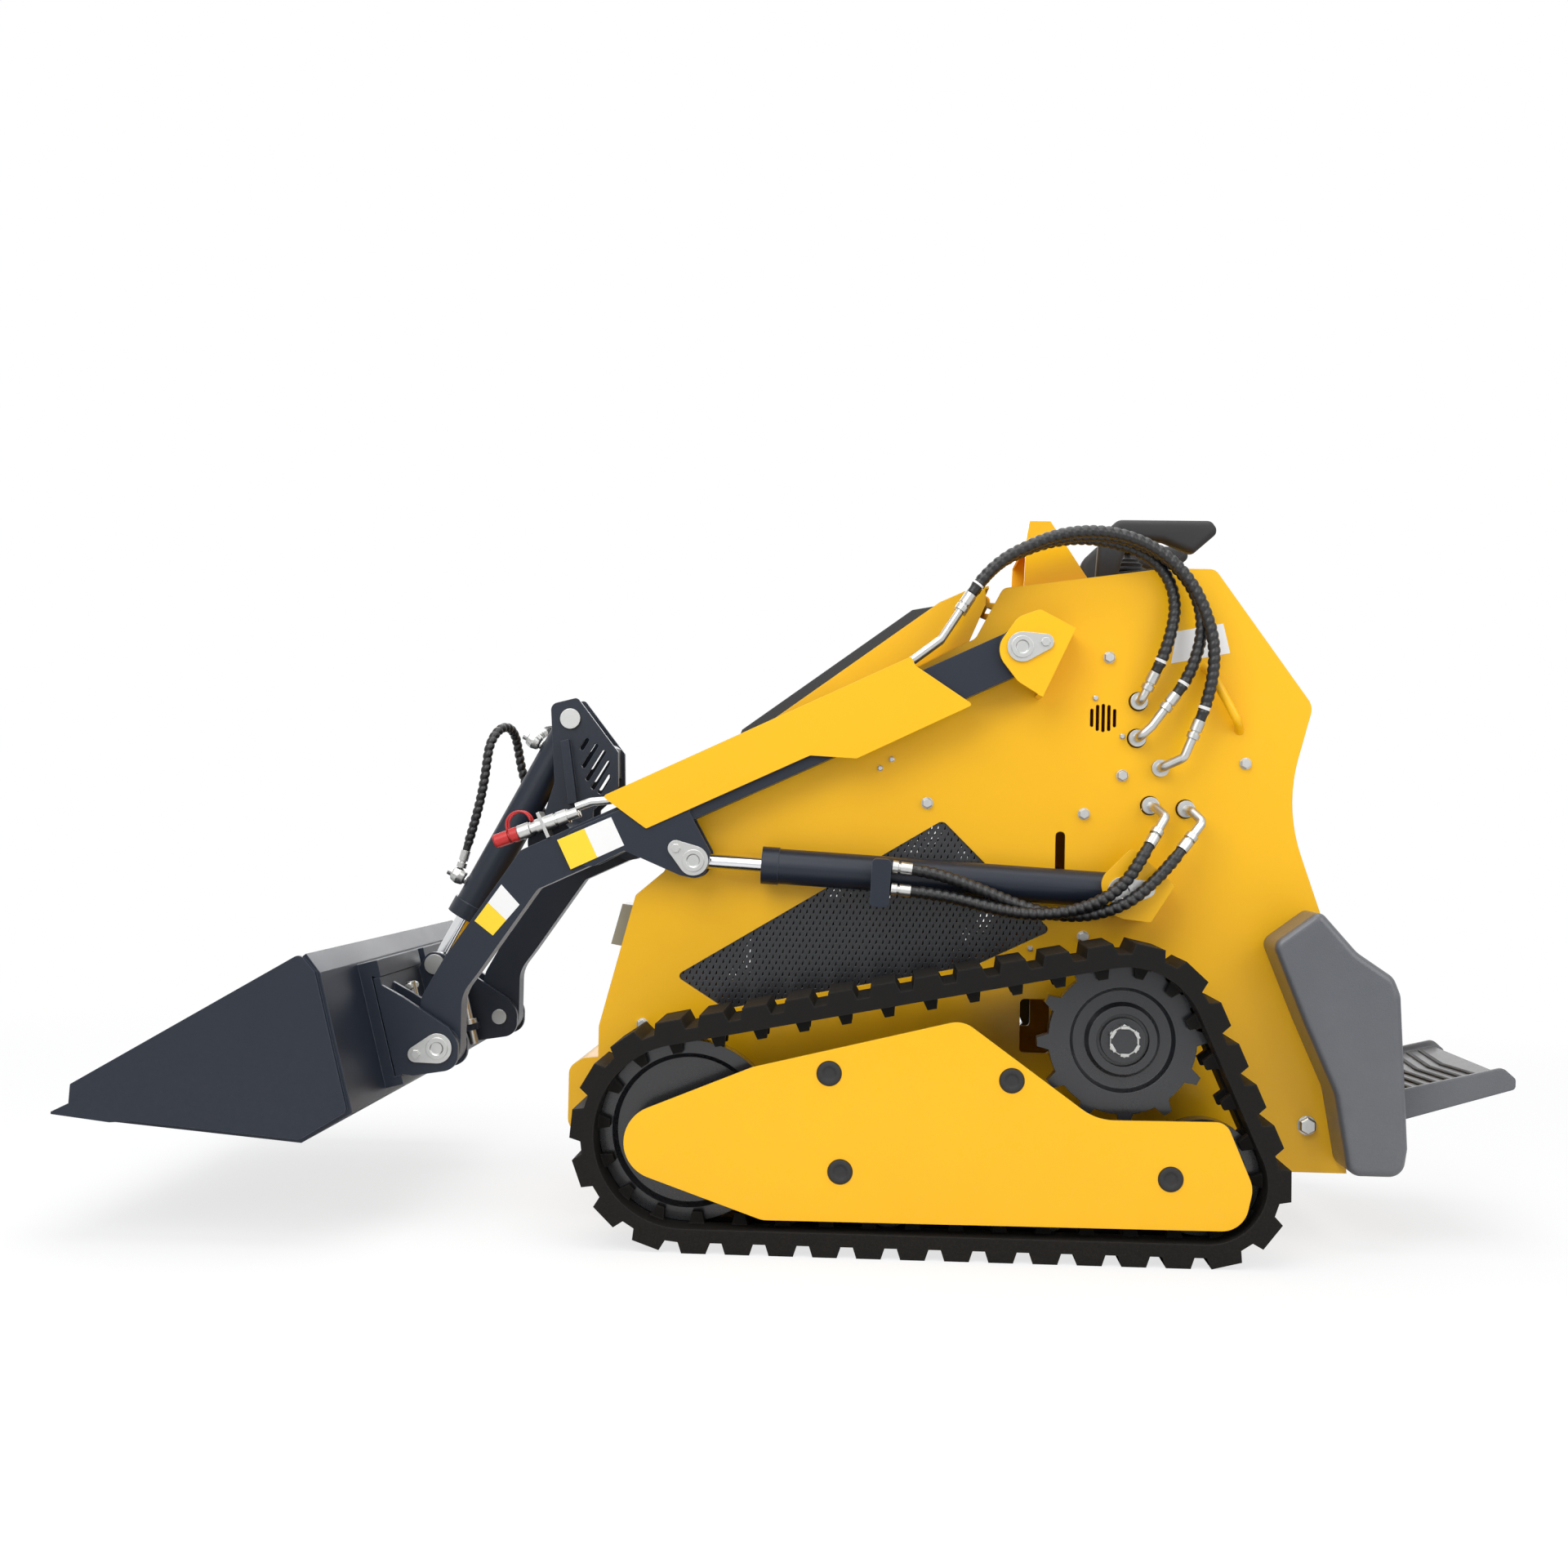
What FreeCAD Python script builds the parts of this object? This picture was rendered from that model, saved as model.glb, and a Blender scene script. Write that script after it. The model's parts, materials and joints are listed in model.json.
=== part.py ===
# Mini skid steer loader on rubber tracks: stand-on chassis, lift arms, bucket and step.
# Millimetres. +X points forward to the bucket, +Y to the machine's left, +Z up.
# The origin is on the ground, in the middle of the machine's length and width.
import FreeCAD, Part
import math
import os
import re
from types import SimpleNamespace
from FreeCAD import Placement, Rotation, Vector

doc = FreeCAD.newDocument("MiniSkidSteer")
sheet = doc.addObject("Spreadsheet::Sheet", "Sizes")

# Every driving size: alias and value
sizes = [
    # widths, from the middle of the machine to one side
    ("sideOuter", 245), ("sheetSide", 8), ("armGap", 12), ("armWidth", 60), ("trackGap", 80),
    ("trackWidth", 180), ("bucketHalf", 575), ("runClear", 5), ("fitGap", 0.3),
    # pivots, seen from the side
    ("pivotX", -355), ("pivotZ", 1024), ("baseX", -534), ("baseZ", 605), ("rodX", 208), ("rodZ", 643),
    ("bucketX", 648), ("bucketZ", 307), ("tiltX", 470), ("tiltZ", 899), ("eyeX", 721), ("eyeZ", 431),
    ("pinRadius", 15), ("flagRadius", 26), ("flagTip", 14), ("flagSheet", 5), ("pinHead", 3),
    # chassis
    ("bellyZ", 119), ("noseX", 378), ("noseTop", 344), ("browX", 317), ("browZ", 578),
    ("cowlX", 267), ("cowlZ", 621), ("shoulderX", 190), ("shoulderZ", 806), ("hingeReach", 25),
    ("hingeDrop", 7), ("deckFrontX", -325), ("deckFrontZ", 1135), ("deckRearX", -697),
    ("deckRearZ", 1174), ("heelX", -871), ("heelZ", 925), ("waistX", -824), ("waistZ", 757),
    ("hipX", -900), ("hipZ", 540), ("footX", -941), ("sheetFloor", 6), ("sheetPanel", 5),
    ("ventRadius", 27), ("ventSlot", 6), ("portRadius", 17), ("handleReach", 32), ("handleRadius", 8),
    ("meshSheet", 3),
    ("bumperReach", 431), ("bumperTop", 289),
    # hood
    ("hoodFrontX", 180), ("hoodFrontZ", 822), ("hoodSheet", 4), ("grilleHalf", 190), ("grilleRise", 20),
    # tracks
    ("pitch", 72), ("links", 38), ("teeth", 12), ("band", 22), ("lugHeight", 18), ("hornDepth", 20), ("coreDrop", 1.3),
    ("sprocketX", -527), ("sprocketZ", 361), ("idlerRadius", 152), ("rearRadius", 97), ("rearX", -660),
    ("rollerRadius", 42), ("wheelWidth", 40), ("windowWidth", 46), ("hornWidth", 16),
    ("coverSheet", 6), ("coverInset", 8), ("plugRadius", 17), ("railSheet", 8), ("railInset", 16), ("axleRadius", 20),
    # arms
    ("kneeX", 513), ("kneeZ", 655), ("armDepth", 76), ("tubeInset", 5), ("gusset", 8), ("coverArm", 4),
    ("clevisGap", 7), ("clevisSheet", 8),
    ("crossX", 468), ("crossZ", 668), ("crossRadius", 42), ("bracketHalf", 56), ("bracketSheet", 12),
    # attach plate and bucket
    ("earSheet", 12), ("plateSheet", 12), ("lugSheet", 14),
    ("wallBucket", 8), ("cuttingEdge", 16), ("tipX", 1233),
    # cylinders
    ("barrelRadius", 31), ("rodRadius", 13), ("boreRadius", 24), ("eyeRadius", 26), ("eyeWidth", 36),
    ("glandRadius", 33), ("tiltBarrelRadius", 31), ("tiltRodRadius", 15), ("hoseRadius", 10), ("tiltHoseRadius", 8), ("crimpLength", 34),
    ("pipeRadius", 7),
    # counterweights and step
    ("weightDepth", 113), ("weightRound", 12), ("lockRadius", 9), ("stepHalf", 238), ("stepEndX", -1233), ("stepPinX", -975), ("stepPinZ", 240),
    ("stepSheet", 8),
]
for row, (alias, value) in enumerate(sizes, start=1):
    sheet.set("A%d" % row, alias)
    sheet.set("B%d" % row, str(value))
    sheet.setAlias("B%d" % row, alias)
doc.recompute()
v = SimpleNamespace(**{alias: float(sheet.get(alias)) for alias, value in sizes})
nodes = {}

# Widths and heights that follow from the sizes: the same sum as an expression and as a number
followed = {
    "armCentre": "(sideOuter + armGap + armWidth / 2)", "trackOuter": "(sideOuter + trackGap + trackWidth)",
    "clevisOuter": "(sideOuter + armGap + armWidth + clevisGap + clevisSheet)",
    "plateHalf": "(sideOuter + armGap + armWidth + runClear + earSheet)",
    "hingeX": "(deckFrontX + hingeReach)", "hingeZ": "(deckFrontZ - hingeDrop)",
}
v.armCentre = v.sideOuter + v.armGap + v.armWidth / 2
v.trackOuter = v.sideOuter + v.trackGap + v.trackWidth
v.clevisOuter = v.sideOuter + v.armGap + v.armWidth + v.clevisGap + v.clevisSheet
v.plateHalf = v.sideOuter + v.armGap + v.armWidth + v.runClear + v.earSheet
v.hingeX = v.deckFrontX + v.hingeReach
v.hingeZ = v.deckFrontZ - v.hingeDrop


def bind(item, prop, text):
    """Tie a property to an expression of the sheet's aliases."""
    text = re.sub(r"[A-Za-z]\w*", lambda word: followed.get(word.group(0), word.group(0)), text)
    item.setExpression(prop, re.sub(r"[A-Za-z]\w*", lambda word: "Sizes." + word.group(0), text))


def keep(label, item):
    """Name a finished sub-part."""
    item.Label = label
    nodes[label] = item
    return item


def rounded(points):
    """Edges of a closed outline in its own plane; a point is (x, y) or (x, y, corner radius)."""
    corners = [(Vector(p[0], p[1], 0), p[2] if len(p) > 2 else 0) for p in points]
    ends = []
    arcs = []
    for i, (here, radius) in enumerate(corners):
        before = corners[i - 1][0] - here
        after = corners[(i + 1) % len(corners)][0] - here
        half = before.getAngle(after) / 2
        if radius <= 0 or half > 1.56:
            ends.append((here, here))
            arcs.append(None)
            continue
        reach = min(radius / math.tan(half), 0.49 * before.Length, 0.49 * after.Length)
        radius = reach * math.tan(half)
        start = here + before.normalize() * reach
        stop = here + after.normalize() * reach
        middle = (before + after).normalize() * (radius / math.sin(half) - radius)
        ends.append((start, stop))
        arcs.append(Part.Arc(start, here + middle, stop))
    edges = []
    for i, arc in enumerate(arcs):
        if arc:
            edges.append(arc)
        start = ends[i][1]
        stop = ends[(i + 1) % len(ends)][0]
        if start.distanceToPoint(stop) > 1e-6:
            edges.append(Part.LineSegment(start, stop))
    return edges


def circle(x, y, radius):
    """A round hole in an outline's plane."""
    return [Part.Circle(Vector(x, y, 0), Vector(0, 0, 1), radius)]


def along(points, thickness):
    """Outline of a bent sheet: the polyline is its outer face, the thickness lies to its right."""
    path = [Vector(x, y, 0) for x, y in points]
    inner = []
    for i, here in enumerate(path):
        normals = []
        if i > 0:
            step = (here - path[i - 1]).normalize()
            normals.append(Vector(step.y, -step.x, 0))
        if i < len(path) - 1:
            step = (path[i + 1] - here).normalize()
            normals.append(Vector(step.y, -step.x, 0))
        mean = sum(normals[1:], normals[0]).normalize()
        inner.append(here + mean * (thickness / mean.dot(normals[0])))
    return [(p.x, p.y) for p in path] + [(p.x, p.y) for p in reversed(inner)]


def teardrop(x, z, radius, tipX, tipZ, tipRadius):
    """Outline of a flag plate: two arcs of different size and their outer tangents."""
    heading = math.atan2(tipZ - z, tipX - x)
    lean = math.acos((radius - tipRadius) / math.hypot(tipX - x, tipZ - z))

    def rim(centreX, centreZ, reach, angle):
        return Vector(centreX + reach * math.cos(angle), centreZ + reach * math.sin(angle), 0)

    big = [rim(x, z, radius, heading + a) for a in (lean, math.pi, -lean)]
    small = [rim(tipX, tipZ, tipRadius, heading + a) for a in (-lean, 0, lean)]
    return [Part.Arc(*big), Part.LineSegment(big[2], small[0]), Part.Arc(*small), Part.LineSegment(small[2], big[0])]


def origin_plane(body, role):
    """One of a body's own base planes."""
    return next(f for f in body.Origin.OriginFeatures if f.Role == role)


def sketch(body, role, loops):
    """A sketch on one of the body's base planes, with one or more closed loops."""
    made = body.newObject("Sketcher::SketchObject", body.Name + "Sketch")
    made.AttachmentSupport = [(origin_plane(body, role), "")]
    made.MapMode = "FlatFace"
    for loop in loops:
        made.addGeometry(loop, False)
    return made


def plate(name, loops, outer, thickness):
    """A flat piece cut in the XZ plane: its left face at y = outer, its thickness towards -Y."""
    body = doc.addObject("PartDesign::Body", name)
    pad = body.newObject("PartDesign::Pad", name + "Pad")
    pad.Profile = sketch(body, "XZ_Plane", loops)
    bind(pad, "Length", thickness)
    bind(body, "Placement.Base.y", outer)
    return body


def turned(name, points, x, z):
    """A wheel or pin turned about an axis along Y at x, z; points are (y, radius)."""
    body = doc.addObject("PartDesign::Body", name)
    spin = body.newObject("PartDesign::Revolution", name + "Turn")
    spin.Profile = sketch(body, "XY_Plane", [rounded([(r, y) for y, r in points])])
    spin.ReferenceAxis = (next(f for f in body.Origin.OriginFeatures if f.Role == "Y_Axis"), [""])
    spin.Angle = 360
    bind(body, "Placement.Base.x", x)
    bind(body, "Placement.Base.z", z)
    return body


def cross_pin(name, x, z, start, length, radius):
    """A round bar along +Y from y = start."""
    bar = doc.addObject("Part::Cylinder", name)
    bar.Placement = Placement(Vector(0, 0, 0), Rotation(Vector(1, 0, 0), -90))
    bind(bar, "Placement.Base.x", x)
    bind(bar, "Placement.Base.z", z)
    bind(bar, "Placement.Base.y", start)
    bind(bar, "Radius", radius)
    bind(bar, "Height", length)
    return bar


def spun(name, points, x, y, z, angle):
    """A turned piece whose axis lies in the XZ plane at an angle from +X; points are (distance, radius)."""
    body = doc.addObject("PartDesign::Body", name)
    spin = body.newObject("PartDesign::Revolution", name + "Turn")
    spin.Profile = sketch(body, "XY_Plane", [rounded(points)])
    spin.ReferenceAxis = (origin_plane(body, "X_Axis"), [""])
    spin.Angle = 360
    body.Placement = Placement(Vector(x, y, z), Rotation(Vector(0, 1, 0), -angle))
    return body


def tube(name, points, radius, bend=0):
    """A round tube on straight runs joined by tangent arcs; without a bend each arc is as large as fits."""
    path = [Vector(*point) for point in points]
    edges = []
    start = path[0]
    radii = []
    for before, here, after in zip(path, path[1:], path[2:]):
        incoming = here - before
        outgoing = after - here
        turn = incoming.getAngle(outgoing)
        reach = 0.45 * min(incoming.Length, outgoing.Length)
        if bend:
            reach = min(reach, bend * math.tan(turn / 2))
        radii.append(round(reach / math.tan(turn / 2)))
        first = here - incoming.normalize() * reach
        last = here + outgoing.normalize() * reach
        inward = (outgoing - incoming).normalize()
        middle = here + inward * (reach / math.sin(turn / 2) - reach / math.tan(turn / 2))
        edges += [Part.LineSegment(start, first).toShape(), Part.Arc(first, middle, last).toShape()]
        start = last
    edges.append(Part.LineSegment(start, path[-1]).toShape())
    wire = Part.Wire(edges)
    ring = Part.Wire([Part.makeCircle(radius, path[0], path[1] - path[0])])
    made = doc.addObject("Part::Feature", name)
    made.Shape = wire.makePipeShell([ring], True, True)
    print("%-18s length %7.1f  volume / (section x length) %.4f  radii %s" % (
        name, wire.Length, made.Shape.Volume / (math.pi * radius ** 2 * wire.Length), radii))
    return made


def fused(name, items):
    """One solid from several that meet."""
    joined = doc.addObject("Part::MultiFuse", name)
    joined.Shapes = items
    joined.Refine = True
    return joined


def cut(name, base, tools):
    """A piece with material taken away."""
    for i, tool in enumerate(tools):
        taken = doc.addObject("Part::Cut", name + "Cut%d" % i)
        taken.Base = base
        taken.Tool = tool
        base = taken
    return base


def mirrored(name, item):
    """The right-hand copy of a left-hand piece."""
    copy = doc.addObject("Part::Mirroring", name)
    copy.Source = item
    copy.Normal = Vector(0, 1, 0)
    return copy


def gathered(name, items):
    """Like pieces kept as one sub-part without touching."""
    group = doc.addObject("Part::Compound", name)
    group.Links = items
    return group


def pair(label, item):
    """A left-hand piece and its mirror image as one sub-part."""
    return keep(label, gathered(label + "Pair", [item, mirrored(label + "Mirror", item)]))


def both(label, item):
    """A left-hand piece and its mirror image as two sub-parts."""
    keep(label + "_left", item)
    return keep(label + "_right", mirrored(label + "Right", item))


def slab(name, length, width, height, x, y, z):
    """A box whose sizes and near corner are expressions of the sheet."""
    box = doc.addObject("Part::Box", name)
    for prop, text in zip(("Length", "Width", "Height"), (length, width, height)):
        bind(box, prop, text)
    for axis, text in zip("xyz", (x, y, z)):
        bind(box, "Placement.Base." + axis, text)
    return box


# Chassis side plates, from the rear foot round by the belly, the nose and the deck
sideOutline = [
    (v.footX, v.bellyZ, 0), (v.noseX, v.bellyZ, 0), (v.noseX, v.noseTop, 0), (v.browX, v.browZ, 10),
    (v.cowlX, v.cowlZ, 0), (v.shoulderX, v.shoulderZ, 15), (v.deckFrontX + 47, v.deckFrontZ - 90, 20),
    (v.deckFrontX, v.deckFrontZ, 15), (v.deckRearX + 86, v.deckRearZ, 0), (v.deckRearX, v.deckRearZ, 20),
    (v.heelX, v.heelZ + 10, 30), (v.waistX, v.waistZ, 320), (v.hipX, v.hipZ, 60),
]
# Window for the engine mesh: x, z and corner radius
windowOutline = [(243, 436, 8), (-226, 722, 12), (-420, 531, 8), (-289, 467, 20), (153, 379, 8)]
# Hose ports: x, z
ports = [(-589, 755), (-651, 750)]
armPorts = [(-566, 938), (-564, 873)]
ventX, ventZ = -505, 908
motorHatch = [(-368, 410, 8), (-368, 315, 8), (-420, 315, 8), (-420, 410, 8)]
slotOutline = [(-425, 706, 8), (-425, 630, 8), (-442, 630, 8), (-442, 706, 8)]
sideLoops = [rounded(sideOutline), rounded(windowOutline), rounded(motorHatch), rounded(slotOutline)]
sideLoops += [circle(x, z, v.portRadius) for x, z in ports]
# Round vent of upright slots
for offset in (-20, -10, 0, 10, 20):
    half = math.sqrt(v.ventRadius ** 2 - offset ** 2) - 2
    left, right = ventX + offset - v.ventSlot / 2, ventX + offset + v.ventSlot / 2
    corner = 0.49 * v.ventSlot
    sideLoops.append(rounded([(left, ventZ - half, corner), (right, ventZ - half, corner),
                              (right, ventZ + half, corner), (left, ventZ + half, corner)]))
armPortLoops = [circle(x, z, v.portRadius) for x, z in armPorts]
handleFoot = v.sideOuter - v.sheetSide / 2
handleOut = v.sideOuter + v.handleReach


def side_plate(name, loops):
    """A side plate with its welded lifting handle."""
    handle = tube(name + "Handle", [(-681, handleFoot, 1001), (-690, handleOut, 986), (-735, handleOut, 905),
                                    (-744, handleFoot, 889)], v.handleRadius, 14)
    return fused(name, [plate(name + "Sheet", loops, "sideOuter", "sheetSide"), handle])


keep("side_plate_left", side_plate("SideLeft", sideLoops + armPortLoops))
keep("side_plate_right", mirrored("SideRightTurned", side_plate("SideRight", sideLoops)))

# Mesh behind the window, lying on the plate's inner face
meshOutline = [(275, 432), (-226, 740), (-450, 528), (-292, 450), (160, 362)]
pair("mesh_panels", plate("MeshPanel", [rounded(meshOutline)], "sideOuter - sheetSide - fitGap", "meshSheet"))

# Floor pan and bumper nose between the side plates
inner = "2 * (sideOuter - sheetSide - fitGap)"
innerTop = "sideOuter - sheetSide - fitGap"
floorTop = v.bellyZ + v.sheetFloor
floor = [(v.footX + 12, v.bellyZ), (v.noseX - 8, v.bellyZ), (v.noseX - 8, floorTop), (v.footX + 12, floorTop)]
keep("belly_pan", plate("BellyPan", [rounded(floor)], innerTop, inner))
nose = [
    (v.noseX - 7, v.bellyZ + 2, 0), (v.noseX + 20, v.bellyZ + 2, 25), (v.bumperReach, v.bellyZ + 50, 30),
    (v.bumperReach, v.bumperTop - 20, 22), (v.noseX + 28, v.bumperTop - 4, 20), (v.noseX - 7, v.bumperTop, 0),
]
keep("nose_bumper", plate("NoseBumper", [rounded(nose)], innerTop, inner))

# Front sheet from the bumper up to the hood
frontFace = [
    (v.noseX - 9, v.bellyZ + v.sheetFloor + 1), (v.noseX - 8, v.noseTop), (v.browX - 8, v.browZ - 4),
    (v.cowlX - 6, v.cowlZ - 6), (v.shoulderX - 3, v.shoulderZ + 4),
]
keep("front_panel", plate("FrontPanel", [rounded(along(frontFace[::-1], v.sheetPanel))], innerTop, inner))

# Deck over the pump bay and the folded rear wall of the operator's side
deck = [(v.deckFrontX, v.deckFrontZ - 12), (v.deckRearX + 20, v.deckRearZ - 14)]
deckSheet = plate("DeckSheet", [rounded(along(deck[::-1], v.sheetPanel)[::-1])], innerTop, inner)
hingeLug = plate("HingeLug", [rounded([
    (v.hingeX + 8, v.hingeZ - 8, 7.9), (v.hingeX + 8, v.hingeZ + 7, 6.9), (v.hingeX - 2, v.hingeZ + 7, 3),
    (v.hingeX - 9, v.hingeZ - 4, 3), (v.deckFrontX + 1, v.hingeZ - 5), (v.deckFrontX - 30, v.deckFrontZ - 10),
    (v.deckFrontX - 30, v.deckFrontZ - 13), (v.deckFrontX - 6, v.deckFrontZ - 30, 10),
])], "104", "12")
hingePin = cross_pin("HingePin", "hingeX", "hingeZ", "-104", "208", "6")
keep("top_deck", fused("TopDeck", [deckSheet, hingeLug, mirrored("HingeLugRight", hingeLug), hingePin]))
rearWall = [
    (v.deckRearX + 18, v.deckRearZ - 22), (v.heelX + 14, v.heelZ), (v.waistX + 28, v.waistZ + 20),
    (v.waistX + 28, v.waistZ - 20), (v.hipX + 32, v.hipZ), (v.footX + 18, v.bellyZ + v.sheetFloor + 1),
]
keep("rear_wall", plate("RearWall", [rounded(along(rearWall[::-1], v.sheetPanel))], innerTop, inner))

# Engine: crankcase and head on two cross mounts, seen through the mesh
engineParts = [
    slab("Crankcase", "420", "300", "200", "-270", "-150", "210"),
    slab("Head", "360", "180", "170", "-240", "-90", "400"),
    slab("MountFront", "40", "300", "220 - bellyZ - sheetFloor - fitGap", "80", "-150", "bellyZ + sheetFloor + fitGap"),
    slab("MountRear", "40", "300", "220 - bellyZ - sheetFloor - fitGap", "-250", "-150", "bellyZ + sheetFloor + fitGap"),
]
keep("engine_block", fused("Engine", engineParts))

# Hood lid: a bent top sheet with side skirts, hinged across the machine at its rear edge
hoodTop = [
    (v.hingeX, v.hingeZ + 12), (v.hingeX + 38, v.hingeZ + 4), (v.hingeX + 86, v.hingeZ - 18),
    (v.hoodFrontX - 8, v.hoodFrontZ + 6),
]
hoodHalf = "(sideOuter - sheetSide - runClear)"
lid = plate("HoodLid", [rounded(along(hoodTop, v.hoodSheet))], hoodHalf, "2 * " + hoodHalf)
skirt = [
    (v.hingeX + 6, v.hingeZ + 8), (v.hingeX + 38, v.hingeZ + 1), (v.hingeX + 86, v.hingeZ - 21),
    (v.hoodFrontX - 10, v.hoodFrontZ + 4), (v.hoodFrontX - 30, v.hoodFrontZ - 14),
    (v.hingeX + 40, v.hingeZ - 105, 20), (v.hingeX + 4, v.hingeZ - 20),
]
skirtLeft = plate("HoodSkirt", [rounded(skirt)], hoodHalf, "hoodSheet")
knuckle = cross_pin("HoodKnuckle", "hingeX", "hingeZ", "-90", "180", "10")
knuckleBore = cross_pin("HoodKnuckleBore", "hingeX", "hingeZ", "-100", "200", "6 + fitGap")
hoodBlank = fused("HoodBlank", [lid, skirtLeft, mirrored("HoodSkirtRight", skirtLeft), knuckle])
keep("hood_shell", cut("HoodShell", hoodBlank, [knuckleBore]))

# Air grille standing on the hood's slope
slope = math.atan2(v.hingeZ - 18 - v.hoodFrontZ - 6, v.hoodFrontX - 8 - v.hingeX - 86)
rise = Vector(math.sin(slope), math.cos(slope), 0)


def on_slope(distance, height):
    """A point at a distance down the hood's slope and a height square to it."""
    run = Vector(math.cos(slope), -math.sin(slope), 0)
    point = Vector(v.hingeX + 86, v.hingeZ - 18, 0) + run * distance + rise * height
    return (point.x, point.y)


grilleOutline = [on_slope(4, v.fitGap), on_slope(45, v.grilleRise), on_slope(420, v.grilleRise),
                 on_slope(450, v.fitGap)]
keep("hood_grille", plate("HoodGrille", [rounded(grilleOutline)], "grilleHalf", "2 * grilleHalf"))

# Rubber track loop: pitch line round the front idler, the sprocket and the rear idler
halfBand = v.band / 2
sprocketPitch = v.teeth * v.pitch / (2 * math.pi)
groundLine = v.lugHeight + halfBand


def loop_wheels(front):
    """Centre x, centre z and pitch-line radius of the three wheels, for a front idler at x = front."""
    frontRadius = v.idlerRadius + halfBand
    rearRadius = v.rearRadius + halfBand
    return [
        (front, groundLine + frontRadius, frontRadius),
        (v.sprocketX, v.sprocketZ, sprocketPitch),
        (v.rearX, groundLine + rearRadius, rearRadius),
    ]


def loop_runs(wheels):
    """Length and direction of the straight run after each wheel."""
    runs = []
    for i, (x, z, radius) in enumerate(wheels):
        nextX, nextZ, nextRadius = wheels[(i + 1) % 3]
        gap = math.hypot(nextX - x, nextZ - z)
        turn = math.asin((radius - nextRadius) / gap)
        angle = math.atan2(nextZ - z, nextX - x) + turn
        runs.append((gap * math.cos(turn), angle % (2 * math.pi)))
    return runs


def loop_length(front):
    """Length of the pitch line."""
    wheels = loop_wheels(front)
    runs = loop_runs(wheels)
    total = sum(length for length, angle in runs)
    for i, (x, z, radius) in enumerate(wheels):
        total += radius * ((runs[i][1] - runs[i - 1][1]) % (2 * math.pi))
    return total


# The front idler slides until the loop is as long as its links
low, high = v.sprocketX + 2 * v.idlerRadius, v.sprocketX + 4000
for step in range(60):
    frontX = (low + high) / 2
    if loop_length(frontX) < v.links * v.pitch:
        low = frontX
    else:
        high = frontX
wheels = loop_wheels(frontX)
runs = loop_runs(wheels)
loopPieces = []
for i, (x, z, radius) in enumerate(wheels):
    startAngle = runs[i - 1][1] - math.pi / 2
    sweep = (runs[i][1] - runs[i - 1][1]) % (2 * math.pi)
    loopPieces.append(("arc", radius * sweep, x, z, radius, startAngle, sweep))
    endAngle = startAngle + sweep
    startX = x + radius * math.cos(endAngle)
    startZ = z + radius * math.sin(endAngle)
    loopPieces.append(("run", runs[i][0], startX, startZ, 0, runs[i][1], 0))
frontZ = wheels[0][1]
rearZ = wheels[2][1]


def loop_point(distance, offset):
    """Point of the loop at a distance along the pitch line and an offset outwards from it."""
    distance = distance % (v.links * v.pitch)
    for kind, length, x, z, radius, angle, sweep in loopPieces:
        if distance <= length:
            break
        distance -= length
    distance = min(distance, length)
    if kind == "arc":
        angle += distance / radius
        return (x + (radius + offset) * math.cos(angle), z + (radius + offset) * math.sin(angle))
    return (x + distance * math.cos(angle) + offset * math.sin(angle),
            z + distance * math.sin(angle) - offset * math.cos(angle))


def smooth_loop(offset):
    """Closed loop of arcs and straight runs at an offset from the pitch line."""
    edges = []
    for i, (kind, length, x, z, radius, angle, sweep) in enumerate(loopPieces):
        if kind == "arc":
            mid = angle + sweep / 2
            far = angle + sweep
            wheel = radius + offset
            edges.append(Part.Arc(*[Vector(x + wheel * math.cos(a), z + wheel * math.sin(a), 0)
                                    for a in (angle, mid, far)]))
            stop = Vector(x + wheel * math.cos(far), z + wheel * math.sin(far), 0)
            nextKind, nextLength, nextX, nextZ, nextRadius, nextAngle, nextSweep = loopPieces[(i + 2) % 6]
            nextWheel = nextRadius + offset
            start = Vector(nextX + nextWheel * math.cos(nextAngle), nextZ + nextWheel * math.sin(nextAngle), 0)
            edges.append(Part.LineSegment(stop, start))
    return edges


def toothed_loop(profile, phase):
    """Closed outline repeated at every link; profile rows are (distance along, offset)."""
    points = []
    for link in range(int(v.links)):
        for distance, offset in profile:
            points.append(loop_point((link + phase) * v.pitch + distance, offset))
    return rounded(points)


# Phase that puts a window on the sprocket's first tooth, in the middle of its arc
sprocketStart = loopPieces[0][1] + loopPieces[1][1]
sprocketArc = loopPieces[2]
toothAngle = sprocketArc[5] + sprocketArc[6] / 2
phase = (sprocketStart + sprocketArc[1] / 2) / v.pitch % 1
# Profiles of one link: tread bar outside, core bar between windows, guide horn
treadProfile = [(-26, halfBand), (-20, halfBand + v.lugHeight), (20, halfBand + v.lugHeight), (26, halfBand)]
coreFace = v.coreDrop - halfBand
windowProfile = [(-22, coreFace), (-22, halfBand - 3), (22, halfBand - 3), (22, coreFace)]
hornProfile = [(-14, 3 - halfBand), (-8, -halfBand - v.hornDepth), (8, -halfBand - v.hornDepth), (14, 3 - halfBand)]
trackMiddle = "(trackOuter - trackWidth / 2)"
tread = toothed_loop(treadProfile, phase + 0.5)
edgeWidth = "(trackWidth - windowWidth) / 2"
bandOuter = plate("TrackOuterBand", [tread, smooth_loop(-halfBand)], "trackOuter", edgeWidth)
bandMiddle = plate("TrackWindows", [tread, toothed_loop(windowProfile, phase)],
                   "trackOuter - " + edgeWidth, "windowWidth")
bandInner = plate("TrackInnerBand", [tread, smooth_loop(-halfBand)],
                  "trackOuter - " + edgeWidth + " - windowWidth", edgeWidth)
hornOuter = plate("TrackHornsOuter", [smooth_loop(4 - halfBand), toothed_loop(hornProfile, phase + 0.5)],
                  trackMiddle + " + windowWidth / 2 + 2 + hornWidth", "hornWidth")
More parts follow.
